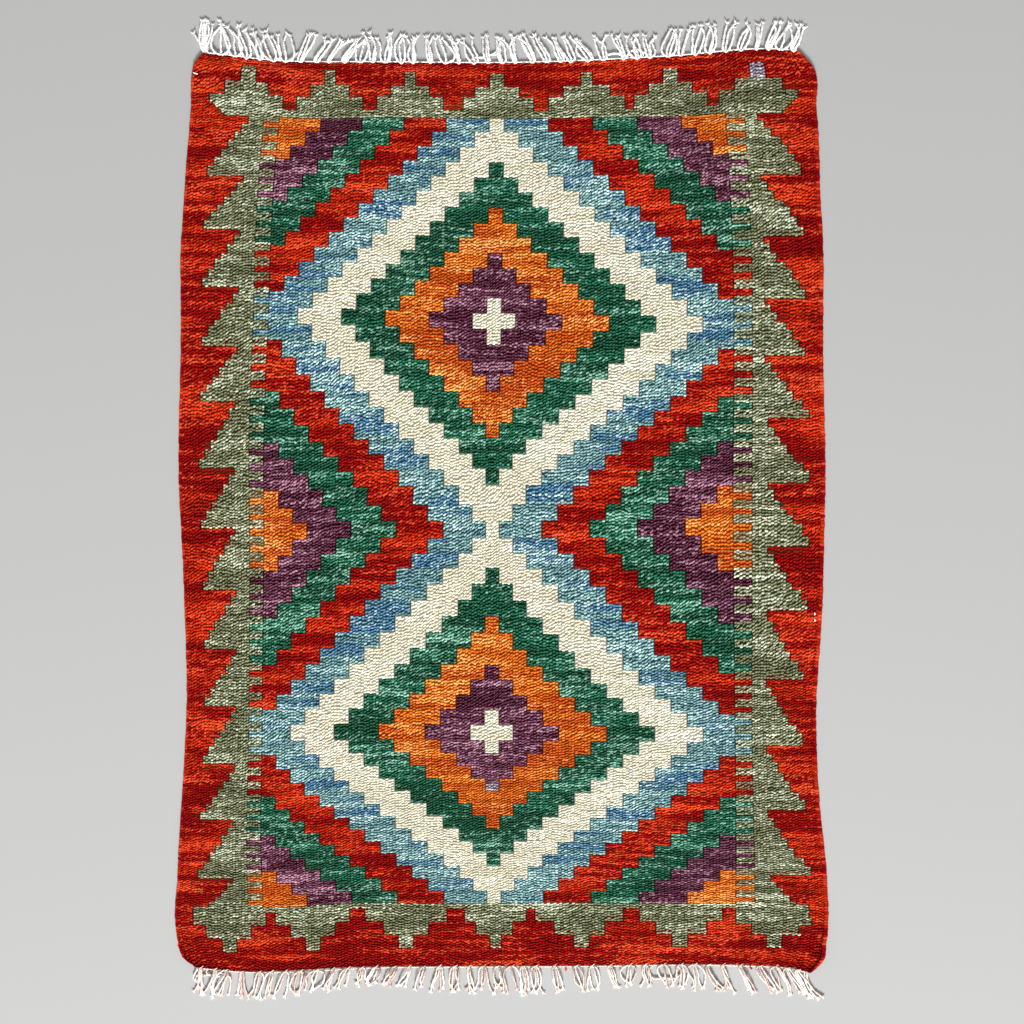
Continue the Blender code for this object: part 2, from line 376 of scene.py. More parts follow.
def motif_distance(columns, motifs):
    """Distance from the middle of the nearest border motif by its width, and which one it is."""
    middles = np.array([motif[0] for motif in motifs])
    widths = np.array([motif[1] for motif in motifs])
    off = np.abs((columns + 0.5 - AXIS)[..., None] - middles)
    nearest = np.argmin(off, axis=-1)
    return np.min(off, axis=-1) / widths[nearest], nearest


def yarn_at(columns, rows):
    """Which yarn shows at each warp column and weft row, as a number in YARNS."""
    columns, rows = np.broadcast_arrays(columns, rows)
    from_side = np.minimum(columns, WARPS - 1 - columns)
    on_left = columns < AXIS
    yarns = np.full(columns.shape, RED)

    in_field_rows = (rows >= NEAR_BORDER_ROWS) & (rows < FAR_BORDER_START)
    right_saw = np.where(
        rows < FAR_RIGHT_SAW_START, tooth_edge(rows, RIGHT_TEETH, RIGHT_SAW),
        tooth_edge(rows, RIGHT_TEETH, FAR_RIGHT_SAW),
    )
    saw = np.where(on_left, tooth_edge(rows, LEFT_TEETH, LEFT_SAW), right_saw)
    lowest = np.where(on_left, LEFT_TEETH[0], RIGHT_TEETH[0])
    saw_rows = (rows >= lowest) & (rows < FAR_BORDER_START)
    yarns[saw_rows & (from_side >= MARGIN + saw) & (from_side < FIELD_START)] = SAGE

    nearest = np.clip(columns, FIELD_START, WARPS - 1 - FIELD_START)
    field = field_yarns(nearest, rows)
    phase = (rows - NEAR_BORDER_ROWS) % STEP_ROWS
    comb_row = (phase == 1) | (phase == 2)
    comb = comb_row & (from_side >= np.where(on_left, LEFT_COMB_START, RIGHT_COMB_START))
    shown = in_field_rows & ((from_side >= FIELD_START) | comb)
    yarns[shown] = field[shown]

    near_off, _ = motif_distance(columns, NEAR_MOTIFS)
    for half, start, stop in NEAR_LAYERS:
        layer = (rows >= start) & (rows < stop) & (near_off < half) & (from_side >= MARGIN)
        yarns[layer] = SAGE
    far_off, motif = motif_distance(columns, FAR_MOTIFS)
    for half, start, stop in FAR_LAYERS:
        layer = (rows >= start) & (rows < stop) & (far_off < half)
        layer &= from_side >= MARGIN + FAR_FOOT_TAPER * np.maximum(0, FAR_FOOT_ROW - rows)
        yarns[layer] = SAGE

    mend(yarns, columns, rows, motif)
    return yarns


def mend(yarns, columns, rows, motif):
    """Small places where the weaver used up another yarn."""
    half, start, stop = LILAC_BLOCK
    off = np.abs(columns + 0.5 - AXIS)
    yarns[(off < half) & (rows >= start) & (rows < stop)] = LILAC
    tip_start = FAR_LAYERS[-1][1]
    yarns[(motif == LILAC_MOTIF) & (rows >= tip_start) & (yarns == SAGE)] = LILAC
    yarns[(columns == CREAM_FLOAT[0]) & (rows == CREAM_FLOAT[1])] = CREAM


# ---------------------------------------------------------------- mesh helpers
def mesh_of(name, points, faces, materials, face_materials=None, smooth=True):
    """Makes a mesh object from an array of points in mm and an array of equal-sided faces."""
    mesh = bpy.data.meshes.new(name)
    points = np.asarray(points, np.float32) * MM
    faces = np.asarray(faces, np.int32)
    mesh.vertices.add(len(points))
    mesh.vertices.foreach_set("co", points.ravel())
    mesh.loops.add(faces.size)
    mesh.loops.foreach_set("vertex_index", faces.ravel())
    mesh.polygons.add(len(faces))
    mesh.polygons.foreach_set("loop_start", np.arange(0, faces.size, faces.shape[1]))
    for material in materials:
        mesh.materials.append(material)
    if face_materials is not None:
        mesh.polygons.foreach_set("material_index", np.asarray(face_materials, np.int32))
    mesh.polygons.foreach_set("use_smooth", np.full(len(faces), smooth))
    mesh.update(calc_edges=True)
    mesh.validate()
    thing = bpy.data.objects.new(name, mesh)
    bpy.context.scene.collection.objects.link(thing)
    return thing


def add_vector(thing, name, values):
    """Stores a vector for each point of a mesh, which its materials read by name."""
    attribute = thing.data.attributes.new(name, "FLOAT_VECTOR", "POINT")
    attribute.data.foreach_set("vector", np.asarray(values, np.float32).ravel())


def add_number(thing, name, values):
    """Stores a number for each point of a mesh, which its materials read by name."""
    attribute = thing.data.attributes.new(name, "FLOAT", "POINT")
    attribute.data.foreach_set("value", np.asarray(values, np.float32).ravel())


PLAN_MARGIN = 0.002


def add_plan_map(thing):
    """A map of the piece as seen from above, for baking its yarn colours."""
    mesh = thing.data
    points = np.zeros(len(mesh.vertices) * 3, np.float32)
    mesh.vertices.foreach_get("co", points)
    flat = points.reshape(-1, 3)[:, :2]
    low = flat.min(axis=0)
    size = (flat.max(axis=0) - low).max()
    corners = np.zeros(len(mesh.loops), np.int32)
    mesh.loops.foreach_get("vertex_index", corners)
    spots = PLAN_MARGIN + (1 - 2 * PLAN_MARGIN) * (flat[corners] - low) / size
    layer = mesh.uv_layers.new(name="OFBake")
    layer.uv.foreach_set("vector", spots.astype(np.float32).ravel())


# ---------------------------------------------------------------- nodes
COLOUR, NUMBER = "NodeSocketColor", "NodeSocketFloat"


def new_group(name, inputs, outputs):
    """An empty node group with its sockets: name, kind and value in, and name and kind out."""
    tree = bpy.data.node_groups.new(name, "ShaderNodeTree")
    for label, kind, value in inputs:
        socket = tree.interface.new_socket(name=label, in_out="INPUT", socket_type=kind)
        if value is not None:
            socket.default_value = value
    for label, kind in outputs:
        tree.interface.new_socket(name=label, in_out="OUTPUT", socket_type=kind)
    return tree


def node(tree, kind, where, **settings):
    """Adds a node at a place in its tree, with its settings."""
    made = tree.nodes.new(kind)
    made.location = where
    for name, value in settings.items():
        setattr(made, name, value)
    return made


def feed(tree, socket, value):
    """Sets a socket to a value, or links another node's output to it."""
    if isinstance(value, bpy.types.NodeSocket):
        tree.links.new(value, socket)
    else:
        socket.default_value = value


def math_node(tree, operation, where, *values):
    made = node(tree, "ShaderNodeMath", where, operation=operation)
    for socket, value in zip(made.inputs, values):
        feed(tree, socket, value)
    return made.outputs[0]


def range_node(tree, where, value, low, high, new_low=0.0, new_high=1.0):
    made = node(tree, "ShaderNodeMapRange", where)
    for name, number in (
        ("Value", value), ("From Min", low), ("From Max", high), ("To Min", new_low),
        ("To Max", new_high),
    ):
        feed(tree, made.inputs[name], number)
    return made.outputs["Result"]


def mix_colours(tree, where, share, first, second):
    made = node(tree, "ShaderNodeMix", where, data_type="RGBA")
    for k, value in ((0, share), (6, first), (7, second)):
        feed(tree, made.inputs[k], value)
    return made.outputs[2]


def mix_numbers(tree, where, share, first, second):
    made = node(tree, "ShaderNodeMix", where, data_type="FLOAT")
    for k, value in ((0, share), (2, first), (3, second)):
        feed(tree, made.inputs[k], value)
    return made.outputs[0]


def scale_colour(tree, where, colour, light):
    made = node(tree, "ShaderNodeVectorMath", where, operation="SCALE")
    feed(tree, made.inputs[0], colour)
    feed(tree, made.inputs["Scale"], light)
    return made.outputs[0]


def noise_node(tree, where, spot, scale, detail):
    made = node(tree, "ShaderNodeTexNoise", where)
    for name, value in (("Vector", spot), ("Scale", scale), ("Detail", detail)):
        feed(tree, made.inputs[name], value)
    return made.outputs["Fac"]


def vector_node(tree, where, *values):
    made = node(tree, "ShaderNodeCombineXYZ", where)
    for socket, value in zip(made.inputs, values):
        feed(tree, socket, value)
    return made.outputs[0]


def stored_number(tree, where, name):
    return node(tree, "ShaderNodeAttribute", where, attribute_name=name).outputs["Fac"]


def weave_place(tree):
    """Column, row and chance of the float at each point, as its mesh stores them."""
    weave = node(tree, "ShaderNodeAttribute", (-1400, -300), attribute_name="weave")
    parts = node(tree, "ShaderNodeSeparateXYZ", (-1200, -300))
    tree.links.new(weave.outputs["Vector"], parts.inputs[0])
    return tuple(parts.outputs)


# ---------------------------------------------------------------- materials
# How noise runs through a dyed yarn, as its scales over warps and over rows
LONG_STREAK = (0.022, 0.24)
DYE_BATH = (0.03, 0.1)
WEFT_PICK = (0.045, 0.62)
# The middle range of the noise, and the part of it where a streak starts and is full
NOISE_LOW, NOISE_HIGH = 0.34, 0.66
STREAK_EDGE = (0.6, 0.66)
STREAK_GAIN = 0.3
# How far the bath and the picks swing a yarn between its deep and its bright tone
BATH_SWING = 0.3
PICK_SWING = 0.5
# How far up a float its painted crease shade ends and its painted crown highlight starts
CROWN_START = 0.55
# Rows from the near end over which the streaks are fewer, and by how much
FEWER_STREAKS_ROWS = 50.0
FEWER_STREAKS = -0.08
# How strongly the painted shade of a crease takes the deep tone, and how much light the painted
# shade down a slit leaves
CREASE_SHADE_DEPTH = 0.75
SLIT_LIGHT = 0.4
# How far up a float the painted shade of its crease ends
SHADE_END = 0.75


def make_dye_and_painted_light_group():
    """Colour of a hand-dyed yarn: streaks along the wefts and a change from float to float, with
    painted shade in its creases and slits and a painted highlight on its crowns.
    """
    tree = new_group(
        "dyed_yarn_and_painted_light",
        (
            ("Tone", COLOUR, None), ("Streak", COLOUR, None), ("Deep", COLOUR, None),
            ("Bright", COLOUR, None), ("Streak Share", NUMBER, 0.5), ("Heather", NUMBER, 0.4),
            ("Crown Highlight", NUMBER, 0.6), ("Crease Shade", NUMBER, 0.3), ("Seed", NUMBER, 0.0),
            ("Crest", NUMBER, 0.6), ("Chance", NUMBER, 0.5),
        ),
        (("Colour", COLOUR),),
    )
    enter = node(tree, "NodeGroupInput", (-1400, 0)).outputs
    leave = node(tree, "NodeGroupOutput", (1400, 0)).inputs
    column, row, _ = weave_place(tree)

    def streak(scales, y):
        """Noise that is drawn out along the wefts."""
        across = math_node(tree, "MULTIPLY", (-1000, y), column, scales[0])
        along = math_node(tree, "MULTIPLY", (-1000, y - 150), row, scales[1])
        spot = vector_node(tree, (-800, y), across, along, enter["Seed"])
        return noise_node(tree, (-600, y), spot, 1.0, 2.0)

    def swing_of(scales, y, size):
        """Noise that swings as far down as up."""
        return range_node(tree, (-400, y), streak(scales, y), NOISE_LOW, NOISE_HIGH, -size, size)

    more = math_node(tree, "MULTIPLY", (-600, 500), enter["Streak Share"], STREAK_GAIN)
    fewer = range_node(tree, (-600, 700), row, 0.0, FEWER_STREAKS_ROWS, FEWER_STREAKS, 0.0)
    more = math_node(tree, "ADD", (-500, 600), more, fewer)
    long_streak = math_node(tree, "ADD", (-400, 450), streak(LONG_STREAK, 300), more)
    long_streak = range_node(tree, (-200, 450), long_streak, *STREAK_EDGE)
    base = mix_colours(tree, (0, 300), long_streak, enter["Tone"], enter["Streak"])

    bath = swing_of(DYE_BATH, 0, BATH_SWING)
    pick = swing_of(WEFT_PICK, -300, PICK_SWING)
    swing = math_node(tree, "ADD", (-200, 0), bath, pick)
    chance = range_node(tree, (-400, -600), enter["Chance"], 0.0, 1.0, -1.0, 1.0)
    chance = math_node(tree, "MULTIPLY", (-200, -600), chance, enter["Heather"])
    swing = math_node(tree, "ADD", (0, -100), swing, chance)
    down = range_node(tree, (400, -200), swing, 0.0, -1.0)
    up = range_node(tree, (400, 100), swing, 0.0, 1.0)
    colour = mix_colours(tree, (600, 100), down, base, enter["Deep"])
    colour = mix_colours(tree, (760, 100), up, colour, enter["Bright"])
    # Painted shade: the low parts of a float are mixed towards the deep tone
    crease_shade = range_node(tree, (600, -250), enter["Crest"], CROWN_START, 0.0, 0.0, CREASE_SHADE_DEPTH)
    colour = mix_colours(tree, (920, 100), crease_shade, colour, enter["Deep"])

    # Painted highlight: the crown of a float is mixed towards the bright tone
    crown_highlight = range_node(tree, (600, -450), enter["Crest"], CROWN_START, 1.0)
    crown_highlight = math_node(tree, "MULTIPLY", (760, -450), crown_highlight, enter["Crown Highlight"])
    colour = mix_colours(tree, (1080, 100), crown_highlight, colour, enter["Bright"])
    # Painted shade: the low parts of a float are also dimmed to Crease Shade
    shade = range_node(tree, (200, -700), enter["Crest"], 0.0, SHADE_END, enter["Crease Shade"])
    # Painted shade: where the crest is below zero, as on top of the ground, the colour is dimmed
    # to SLIT_LIGHT
    slit_shade = range_node(tree, (200, -950), enter["Crest"], -1.0, 0.0, SLIT_LIGHT, 1.0)
    light = math_node(tree, "MULTIPLY", (600, -700), shade, slit_shade)
    feed(tree, leave["Colour"], scale_colour(tree, (1240, 0), colour, light))
    return tree


def make_floats_group():
    """Where a point lies on its float, as a crest that sets the painted crease shade and crown
    highlight. The underside is smooth, so its floats are drawn here, with painted shade towards
    their sides.
    """
    tree = new_group(
        "weft_floats", (), (("Crest", NUMBER), ("Chance", NUMBER), ("Drawn Height", NUMBER))
    )
    leave = node(tree, "NodeGroupOutput", (1200, 0)).inputs
    crest = stored_number(tree, (-1400, 300), "crest")
    drawn = stored_number(tree, (-1400, 100), "drawn")
    column_at, row_at, chance = weave_place(tree)
    column = math_node(tree, "FLOOR", (-1000, -200), column_at)
    across = math_node(tree, "SUBTRACT", (-800, -200), column_at, column)
    across = math_node(tree, "SUBTRACT", (-600, -200), across, 0.5)
    stagger = math_node(tree, "MULTIPLY", (-800, -400), column, 0.5)
    row = math_node(tree, "ADD", (-600, -400), row_at, stagger)
    leaning = math_node(tree, "MULTIPLY", (-600, -600), across, -FLOAT_SLANT)
    row = math_node(tree, "ADD", (-400, -400), row, leaning)
    whole = math_node(tree, "FLOOR", (-200, -500), row)
    over = math_node(tree, "SUBTRACT", (0, -400), row, whole)
    over = math_node(tree, "SUBTRACT", (200, -400), over, 0.5)
    over = math_node(tree, "ABSOLUTE", (400, -400), over)
    profile = range_node(tree, (600, -400), over, 0.5, 0.05)
    # Painted shade: the crest of a drawn float falls towards its sides, so it is darker there
    sides = math_node(tree, "ABSOLUTE", (200, -150), across)
    sides = range_node(tree, (400, -150), sides, 0.5, 0.3, 0.35, 1.0)
    profile = math_node(tree, "MULTIPLY", (800, -300), profile, sides)
    cell = vector_node(tree, (0, -750), column, whole)
    dice = node(tree, "ShaderNodeTexWhiteNoise", (200, -750), noise_dimensions="2D")
    feed(tree, dice.inputs["Vector"], cell)

    feed(tree, leave["Crest"], mix_numbers(tree, (1000, 200), drawn, crest, profile))
    feed(
        tree, leave["Chance"],
        mix_numbers(tree, (1000, 0), drawn, chance, dice.outputs["Value"]),
    )
    feed(
        tree, leave["Drawn Height"],
        math_node(tree, "MULTIPLY", (1000, -300), profile, drawn),
    )
    return tree


# Fibres of a spun yarn: their slant in degrees, how they are drawn out, and the finer fuzz
FIBRE_TURN = 24
FIBRE_SCALE = (500.0, 2600.0, 1500.0)
FUZZ_SCALE = 1800.0
FUZZ_ROUGHNESS = (0.78, 0.96)


def make_fibre_group():
    """Twisted plies and loose fibres of a spun yarn, along the weft."""
    tree = new_group(
        "spun_fibres", (("Colour", COLOUR, None), ("Fibre Contrast", NUMBER, 0.2)),
        (("Colour", COLOUR), ("Roughness", NUMBER), ("Height", NUMBER)),
    )
    enter = node(tree, "NodeGroupInput", (-1000, 0)).outputs
    leave = node(tree, "NodeGroupOutput", (700, 0)).inputs
    spot = node(tree, "ShaderNodeTexCoord", (-1000, -300)).outputs["Object"]
    squeeze = node(tree, "ShaderNodeMapping", (-800, -300))
    feed(tree, squeeze.inputs["Vector"], spot)
    squeeze.inputs["Rotation"].default_value = (0.0, 0.0, math.radians(FIBRE_TURN))
    squeeze.inputs["Scale"].default_value = FIBRE_SCALE
    fibres = noise_node(tree, (-600, -300), squeeze.outputs[0], 1.0, 3.0)
    fuzz = noise_node(tree, (-600, -600), spot, FUZZ_SCALE, 2.0)

    spread = range_node(tree, (-400, -300), fibres, 0.3, 0.7, -1.0, 1.0)
    swing = math_node(tree, "MULTIPLY", (-200, -200), spread, enter["Fibre Contrast"])
    light = math_node(tree, "ADD", (0, -200), swing, 1.0)
    feed(tree, leave["Colour"], scale_colour(tree, (300, 100), enter["Colour"], light))
    rough = range_node(tree, (300, -150), fuzz, 0.3, 0.7, *FUZZ_ROUGHNESS)
    feed(tree, leave["Roughness"], rough)
    low_fuzz = math_node(tree, "MULTIPLY", (100, -500), fuzz, 0.5)
    feed(tree, leave["Height"], math_node(tree, "ADD", (300, -400), fibres, low_fuzz))
    return tree


def srgb(red, green, blue):
    """A colour as seen on a screen, from 0 to 255, turned into light."""
    linear = [
        c / 12.92 if c <= 0.04045 else ((c + 0.055) / 1.055) ** 2.4
        for c in (red / 255, green / 255, blue / 255)
    ]
    return (*linear, 1.0)


# A yarn's recipe: four colours, and then five values. Crown Highlight and Crease Shade set its
# painted highlight and painted shade, which take the Bright and Deep colours
DYE_AND_PAINTED_LIGHT_SOCKETS = (
    "Tone", "Streak", "Deep", "Bright",
    "Streak Share", "Heather", "Crown Highlight", "Crease Shade", "Seed",
)
DYE_COLOURS = 4
# Wool of the wefts, in the order of YARNS
WOOLS = (
    ("madder_red", (134, 0, 6), (186, 42, 14), (96, 0, 6), (242, 88, 48),
     0.36, 0.32, 0.13, 1.0, 1.7),
    ("sage_grey", (104, 107, 74), (120, 122, 88), (56, 58, 26), (222, 228, 200),
     0.5, 0.45, 0.24, 0.7, 3.1),
    ("undyed_cream", (213, 210, 190), (206, 200, 176), (206, 200, 178), (238, 236, 222),
     0.5, 0.5, 0.1, 1.0, 5.3),
    ("pale_blue", (116, 157, 158), (40, 98, 146), (46, 90, 100), (212, 240, 236),
     0.27, 0.5, 0.24, 0.7, 7.9),
    ("deep_green", (18, 94, 68), (0, 60, 36), (0, 52, 28), (146, 202, 178),
     0.5, 0.42, 0.18, 0.8, 9.2),
    ("pumpkin_orange", (206, 102, 22), (178, 60, 6), (158, 54, 2), (252, 184, 100),
     0.4, 0.38, 0.25, 0.9, 11.6),
    ("plum_purple", (72, 16, 40), (108, 58, 80), (46, 0, 20), (200, 150, 170),
     0.4, 0.4, 0.2, 0.8, 13.4),
    ("faded_lilac", (158, 146, 158), (134, 122, 140), (110, 98, 112), (232, 224, 228),
     0.5, 0.5, 0.2, 0.7, 15.2),
)
# Undyed cotton of the warps: white at the far end; at the near end stained by the red, and darker
# as painted shade
WHITE_COTTON = (
    "white_cotton", (252, 251, 249), (244, 240, 238), (232, 226, 224), (255, 255, 255),
    0.4, 0.4, 0.0, 0.9, 17.0,
)
STAINED_AND_SHADED_COTTON = (
    "stained_and_shaded_cotton", (232, 218, 206), (216, 190, 180), (196, 166, 156), (252, 248, 242),
    0.4, 0.5, 0.0, 0.9, 19.0,
)
# Relief in metres of the floats that are drawn, and of the fibres
DRAWN_RELIEF = 0.0008
FIBRE_RELIEF = 0.0002
FIBRE_STRENGTH = 0.5
SHEEN = 0.015
SHEEN_ROUGHNESS = 0.6
YARN_GLOSS = 0.025


def yarn_material(groups, name, *recipe):
    """A yarn with its own dye, abrash and handling, and with painted shade in its creases and
    slits and a painted highlight on its crowns.
    """
    material = bpy.data.materials.new(name)
    material.use_nodes = True
    tree = material.node_tree
    shader = tree.nodes["Principled BSDF"].inputs
    floats = node(tree, "ShaderNodeGroup", (-1100, 0), node_tree=groups["floats"]).outputs
    dye_and_painted_light = node(tree, "ShaderNodeGroup", (-800, 0), node_tree=groups["dye_and_painted_light"])
    colours = [srgb(*colour) for colour in recipe[:DYE_COLOURS]]
    for socket, value in zip(DYE_AND_PAINTED_LIGHT_SOCKETS, [*colours, *recipe[DYE_COLOURS:]]):
        dye_and_painted_light.inputs[socket].default_value = value
    feed(tree, dye_and_painted_light.inputs["Crest"], floats["Crest"])
    feed(tree, dye_and_painted_light.inputs["Chance"], floats["Chance"])
    fibres = node(tree, "ShaderNodeGroup", (-500, 0), node_tree=groups["fibre"])
    feed(tree, fibres.inputs["Colour"], dye_and_painted_light.outputs["Colour"])
    weave_bump = node(tree, "ShaderNodeBump", (-500, -400))
    weave_bump.inputs["Distance"].default_value = DRAWN_RELIEF
    feed(tree, weave_bump.inputs["Height"], floats["Drawn Height"])
    bump = node(tree, "ShaderNodeBump", (-250, -300))
    bump.inputs["Strength"].default_value = FIBRE_STRENGTH
    bump.inputs["Distance"].default_value = FIBRE_RELIEF
    feed(tree, bump.inputs["Height"], fibres.outputs["Height"])
    feed(tree, bump.inputs["Normal"], weave_bump.outputs["Normal"])
    feed(tree, shader["Base Color"], fibres.outputs["Colour"])
    feed(tree, shader["Roughness"], fibres.outputs["Roughness"])
    feed(tree, shader["Normal"], bump.outputs["Normal"])
    shader["Sheen Weight"].default_value = SHEEN
    shader["Sheen Roughness"].default_value = SHEEN_ROUGHNESS
    shader["Sheen Tint"].default_value = colours[-1]
    shader["Specular IOR Level"].default_value = YARN_GLOSS
    return material


# ---------------------------------------------------------------- the cloth
SHEET_EDGE_INSET = 0.5
SHEET_CHANCE = 0.3


def sheet_columns():
    """Columns of the ground's grid: close together in the borders, half a step in the field."""
    left = np.arange(1, FIELD_START)
    field = FIELD_START + STEP_WARPS / 2 * np.arange(2 * (WARPS - 2 * FIELD_START) // STEP_WARPS)
    right = WARPS - np.arange(FIELD_START, 0, -1)
    return np.concatenate(([SHEET_EDGE_INSET], left, field, right, [WARPS - SHEET_EDGE_INSET]))


def build_sheet(wools):
    """The ground of the cloth under its floats, closed all round, in the chart's colours, with
    painted shade over its top and drawn floats on its underside.
    """
    columns = sheet_columns()
    first_step = NEAR_BORDER_ROWS % STEP_ROWS
    rows = np.concatenate(([0], np.arange(first_step, ROWS, STEP_ROWS), [ROWS]))
    grid_columns, grid_rows = np.meshgrid(columns, rows)
    x, y = place(grid_columns, grid_rows)
    under = lift(x, y)
    wide, long = len(columns), len(rows)
    top = np.stack([x, y, under + BASE_TOP], axis=-1).reshape(-1, 3)
    low = np.stack([x, y, under], axis=-1).reshape(-1, 3)
    points = np.concatenate([top, low])

    index = np.arange(wide * long).reshape(long, wide)
    a, b = index[:-1, :-1].ravel(), index[:-1, 1:].ravel()
    c, d = index[1:, 1:].ravel(), index[1:, :-1].ravel()
    count = wide * long
    faces = [np.stack([a, b, c, d], 1), np.stack([a, d, c, b], 1) + count]
    rim = np.concatenate([index[0, :-1], index[:-1, -1], index[-1, :0:-1], index[:0:-1, 0]])
    after = np.roll(rim, -1)
    faces.append(np.stack([rim + count, after + count, after, rim], 1))
    faces = np.concatenate(faces)

    middle_columns = np.floor((columns[:-1] + columns[1:]) / 2).astype(int)
    middle_rows = ((rows[:-1] + rows[1:]) // 2).astype(int)
    cells = yarn_at(*np.meshgrid(middle_columns, middle_rows)).ravel()
    yarns = np.concatenate([cells, cells, np.full(len(rim), RED)])
    sheet = mesh_of("cloth_ground", points, faces, wools, yarns, smooth=False)
    # The chance sits below the middle, which pulls the ground's colour towards the deep tone
    chance = np.full(grid_columns.shape, SHEET_CHANCE)
    weave = np.stack([grid_columns, grid_rows, chance], -1)
    add_vector(sheet, "weave", np.concatenate([weave.reshape(-1, 3)] * 2))
    # Crest -1 on top gives the ground painted shade, dark in the gaps between floats and down the
    # slits; the underside's crest comes from its drawn floats
    add_number(sheet, "crest", np.concatenate([np.full(count, -1.0), np.zeros(count)]))
    add_number(sheet, "drawn", np.concatenate([np.zeros(count), np.ones(count)]))
    add_plan_map(sheet)
    return sheet


def float_faces():
    """The twelve triangles of one float, over its eight points."""
    left, right = 0, 1
    front_a, crown_a, back_a, front_b, crown_b, back_b = range(2, 8)
    return np.array((
        (left, front_a, crown_a), (left, crown_a, back_a), (left, back_a, front_a),
        (front_a, front_b, crown_b), (front_a, crown_b, crown_a),
        (crown_a, crown_b, back_b), (crown_a, back_b, back_a),
        (back_a, back_b, front_b), (back_a, front_b, front_a),
        (right, crown_b, front_b), (right, back_b, crown_b), (right, front_b, back_b),
    ))


def beat_unevenness(columns, rows):
    """How far the wefts slip up or down each warp, as a share of a row."""
    slow = np.sin(rows * (0.16 + 0.07 * np.sin(columns * 12.9)) + 7 * np.sin(columns * 78.2))
    quick = np.sin(rows * (0.5 + 0.2 * np.sin(columns * 5.3)) + 9 * np.sin(columns * 37.7))
    return SLOW_SLIP * slow + QUICK_SLIP * quick


def yarn_changes(columns, rows, yarns):
    """Where the float on the left, on the right, or up or down is of another yarn."""
    left = yarn_at(np.maximum(columns - 1, 0), rows) != yarns
    right = yarn_at(np.minimum(columns + 1, WARPS - 1), rows) != yarns
    nearer = yarn_at(columns, np.maximum(rows - 1, 0)) != yarns
    farther = yarn_at(columns, np.minimum(rows + 1, ROWS - 1)) != yarns
    return left, right, nearer | farther


def float_points(columns, rows, yarns, rng):
    """Eight points of each float in mm, and the row that its middle has slipped to."""
    count = len(columns)
    changes_left, changes_right, changes_along = yarn_changes(columns, rows, yarns)
    slit_left = changes_left & ~changes_right
    slit_right = changes_right & ~changes_left
    odd = columns % 2

    middle_column = columns + 0.5 + rng.normal(0, COLUMN_SCATTER, count)
    middle_row = rows + 0.25 + 0.5 * odd + rng.normal(0, ROW_SCATTER, count)
    middle_row += beat_unevenness(columns, rows) * np.where(changes_along, CHANGE_SLIP, 1.0)
    middle_row += np.where(changes_along, CHANGE_LEVEL, 0.0) * (1 - 2 * odd)
    reach_left = np.where(slit_left, SLIT_REACH, FLOAT_REACH * rng.uniform(*REACH_RANGE, count))
    reach_right = np.where(slit_right, SLIT_REACH, FLOAT_REACH * rng.uniform(*REACH_RANGE, count))
    shoulder_left = reach_left * np.where(slit_left, SLIT_SHOULDER_SHARE, SHOULDER_SHARE)
    shoulder_right = reach_right * np.where(slit_right, SLIT_SHOULDER_SHARE, SHOULDER_SHARE)
    slant = straight_through(SLANT_ALONG, rows) + rng.normal(0, SLANT_SCATTER, count)
    waves = soft_waves(columns * SLANT_WAVE_STRETCH, rows, seed=5, scale=SLANT_WAVE_SCALE)
    slant += SLANT_WAVE * waves
    slant *= np.where(changes_along, CHANGE_SLANT, 1.0)
    half = FLOAT_HALF_WIDTH * rng.uniform(*WIDTH_RANGE, count)
    crown = FLOAT_CROWN * rng.uniform(*CROWN_RANGE, count)

    # Across in warps, over in rows, and height over the ground in mm
    spots = (
        (-reach_left, 0.0, -FLOAT_DIP),
        (reach_right, 0.0, -FLOAT_DIP),
        (-shoulder_left, -half, -FLOAT_SHOULDER_DIP),
        (-shoulder_left, 0.0, crown),
        (-shoulder_left, half, -FLOAT_SHOULDER_DIP),
        (shoulder_right, -half, -FLOAT_SHOULDER_DIP),
        (shoulder_right, 0.0, crown),
        (shoulder_right, half, -FLOAT_SHOULDER_DIP),
    )
    points = np.zeros((count, len(spots), 3))
    for k, (across, over, height) in enumerate(spots):
        x, y = place(
            np.clip(middle_column + across, LEFT_SELVEDGE, WARPS - RIGHT_SELVEDGE),
            np.clip(middle_row + over + slant * across, 0, ROWS),
        )
        points[:, k] = np.stack([x, y, lift(x, y) + BASE_TOP + height], axis=-1)
    return points, middle_row


def build_weave(name, first_column, last_column, first_row, last_row, seed, wools):
    """The floats of one part of the cloth: each is a weft where it passes over a warp."""
    rng = np.random.default_rng(seed)
    columns, rows = np.meshgrid(
        np.arange(first_column, last_column), np.arange(first_row, last_row)
    )
    columns, rows = columns.ravel(), rows.ravel()
    yarns = yarn_at(columns, rows)
    points, middle_row = float_points(columns, rows, yarns, rng)
    count, corners, _ = points.shape
    own_faces = float_faces()
    faces = (own_faces[None] + corners * np.arange(count)[:, None, None]).reshape(-1, 3)
    piece = mesh_of(name, points.reshape(-1, 3), faces, wools, np.repeat(yarns, len(own_faces)))
    chance = rng.uniform(0, 1, count)
    weave = np.stack([columns, middle_row, chance], axis=-1)
    add_vector(piece, "weave", np.repeat(weave, corners, axis=0))
    add_number(piece, "crest", np.tile(FLOAT_CRESTS, count))
    add_plan_map(piece)
    return piece


# A selvedge is a tube of one bulge for each row, with this many points to a row
SELVEDGE_POINTS = 3
SELVEDGE_SIDES = 8
# How thick each of these points is and how far up its wrap it lies, which gives painted shade
# between the wraps and a painted highlight on them
SELVEDGE_FILL = (0.86, 1.0, 0.98)
SELVEDGE_CRESTS = (0.0, 0.7, 0.35)
# How wraps differ in thickness, how far in mm one stands out, and how far in warps the tube
# reaches in under the floats
SELVEDGE_FILL_RANGE = (0.93, 1.0)
SELVEDGE_PROUD = 0.35
SELVEDGE_INSET = 0.1


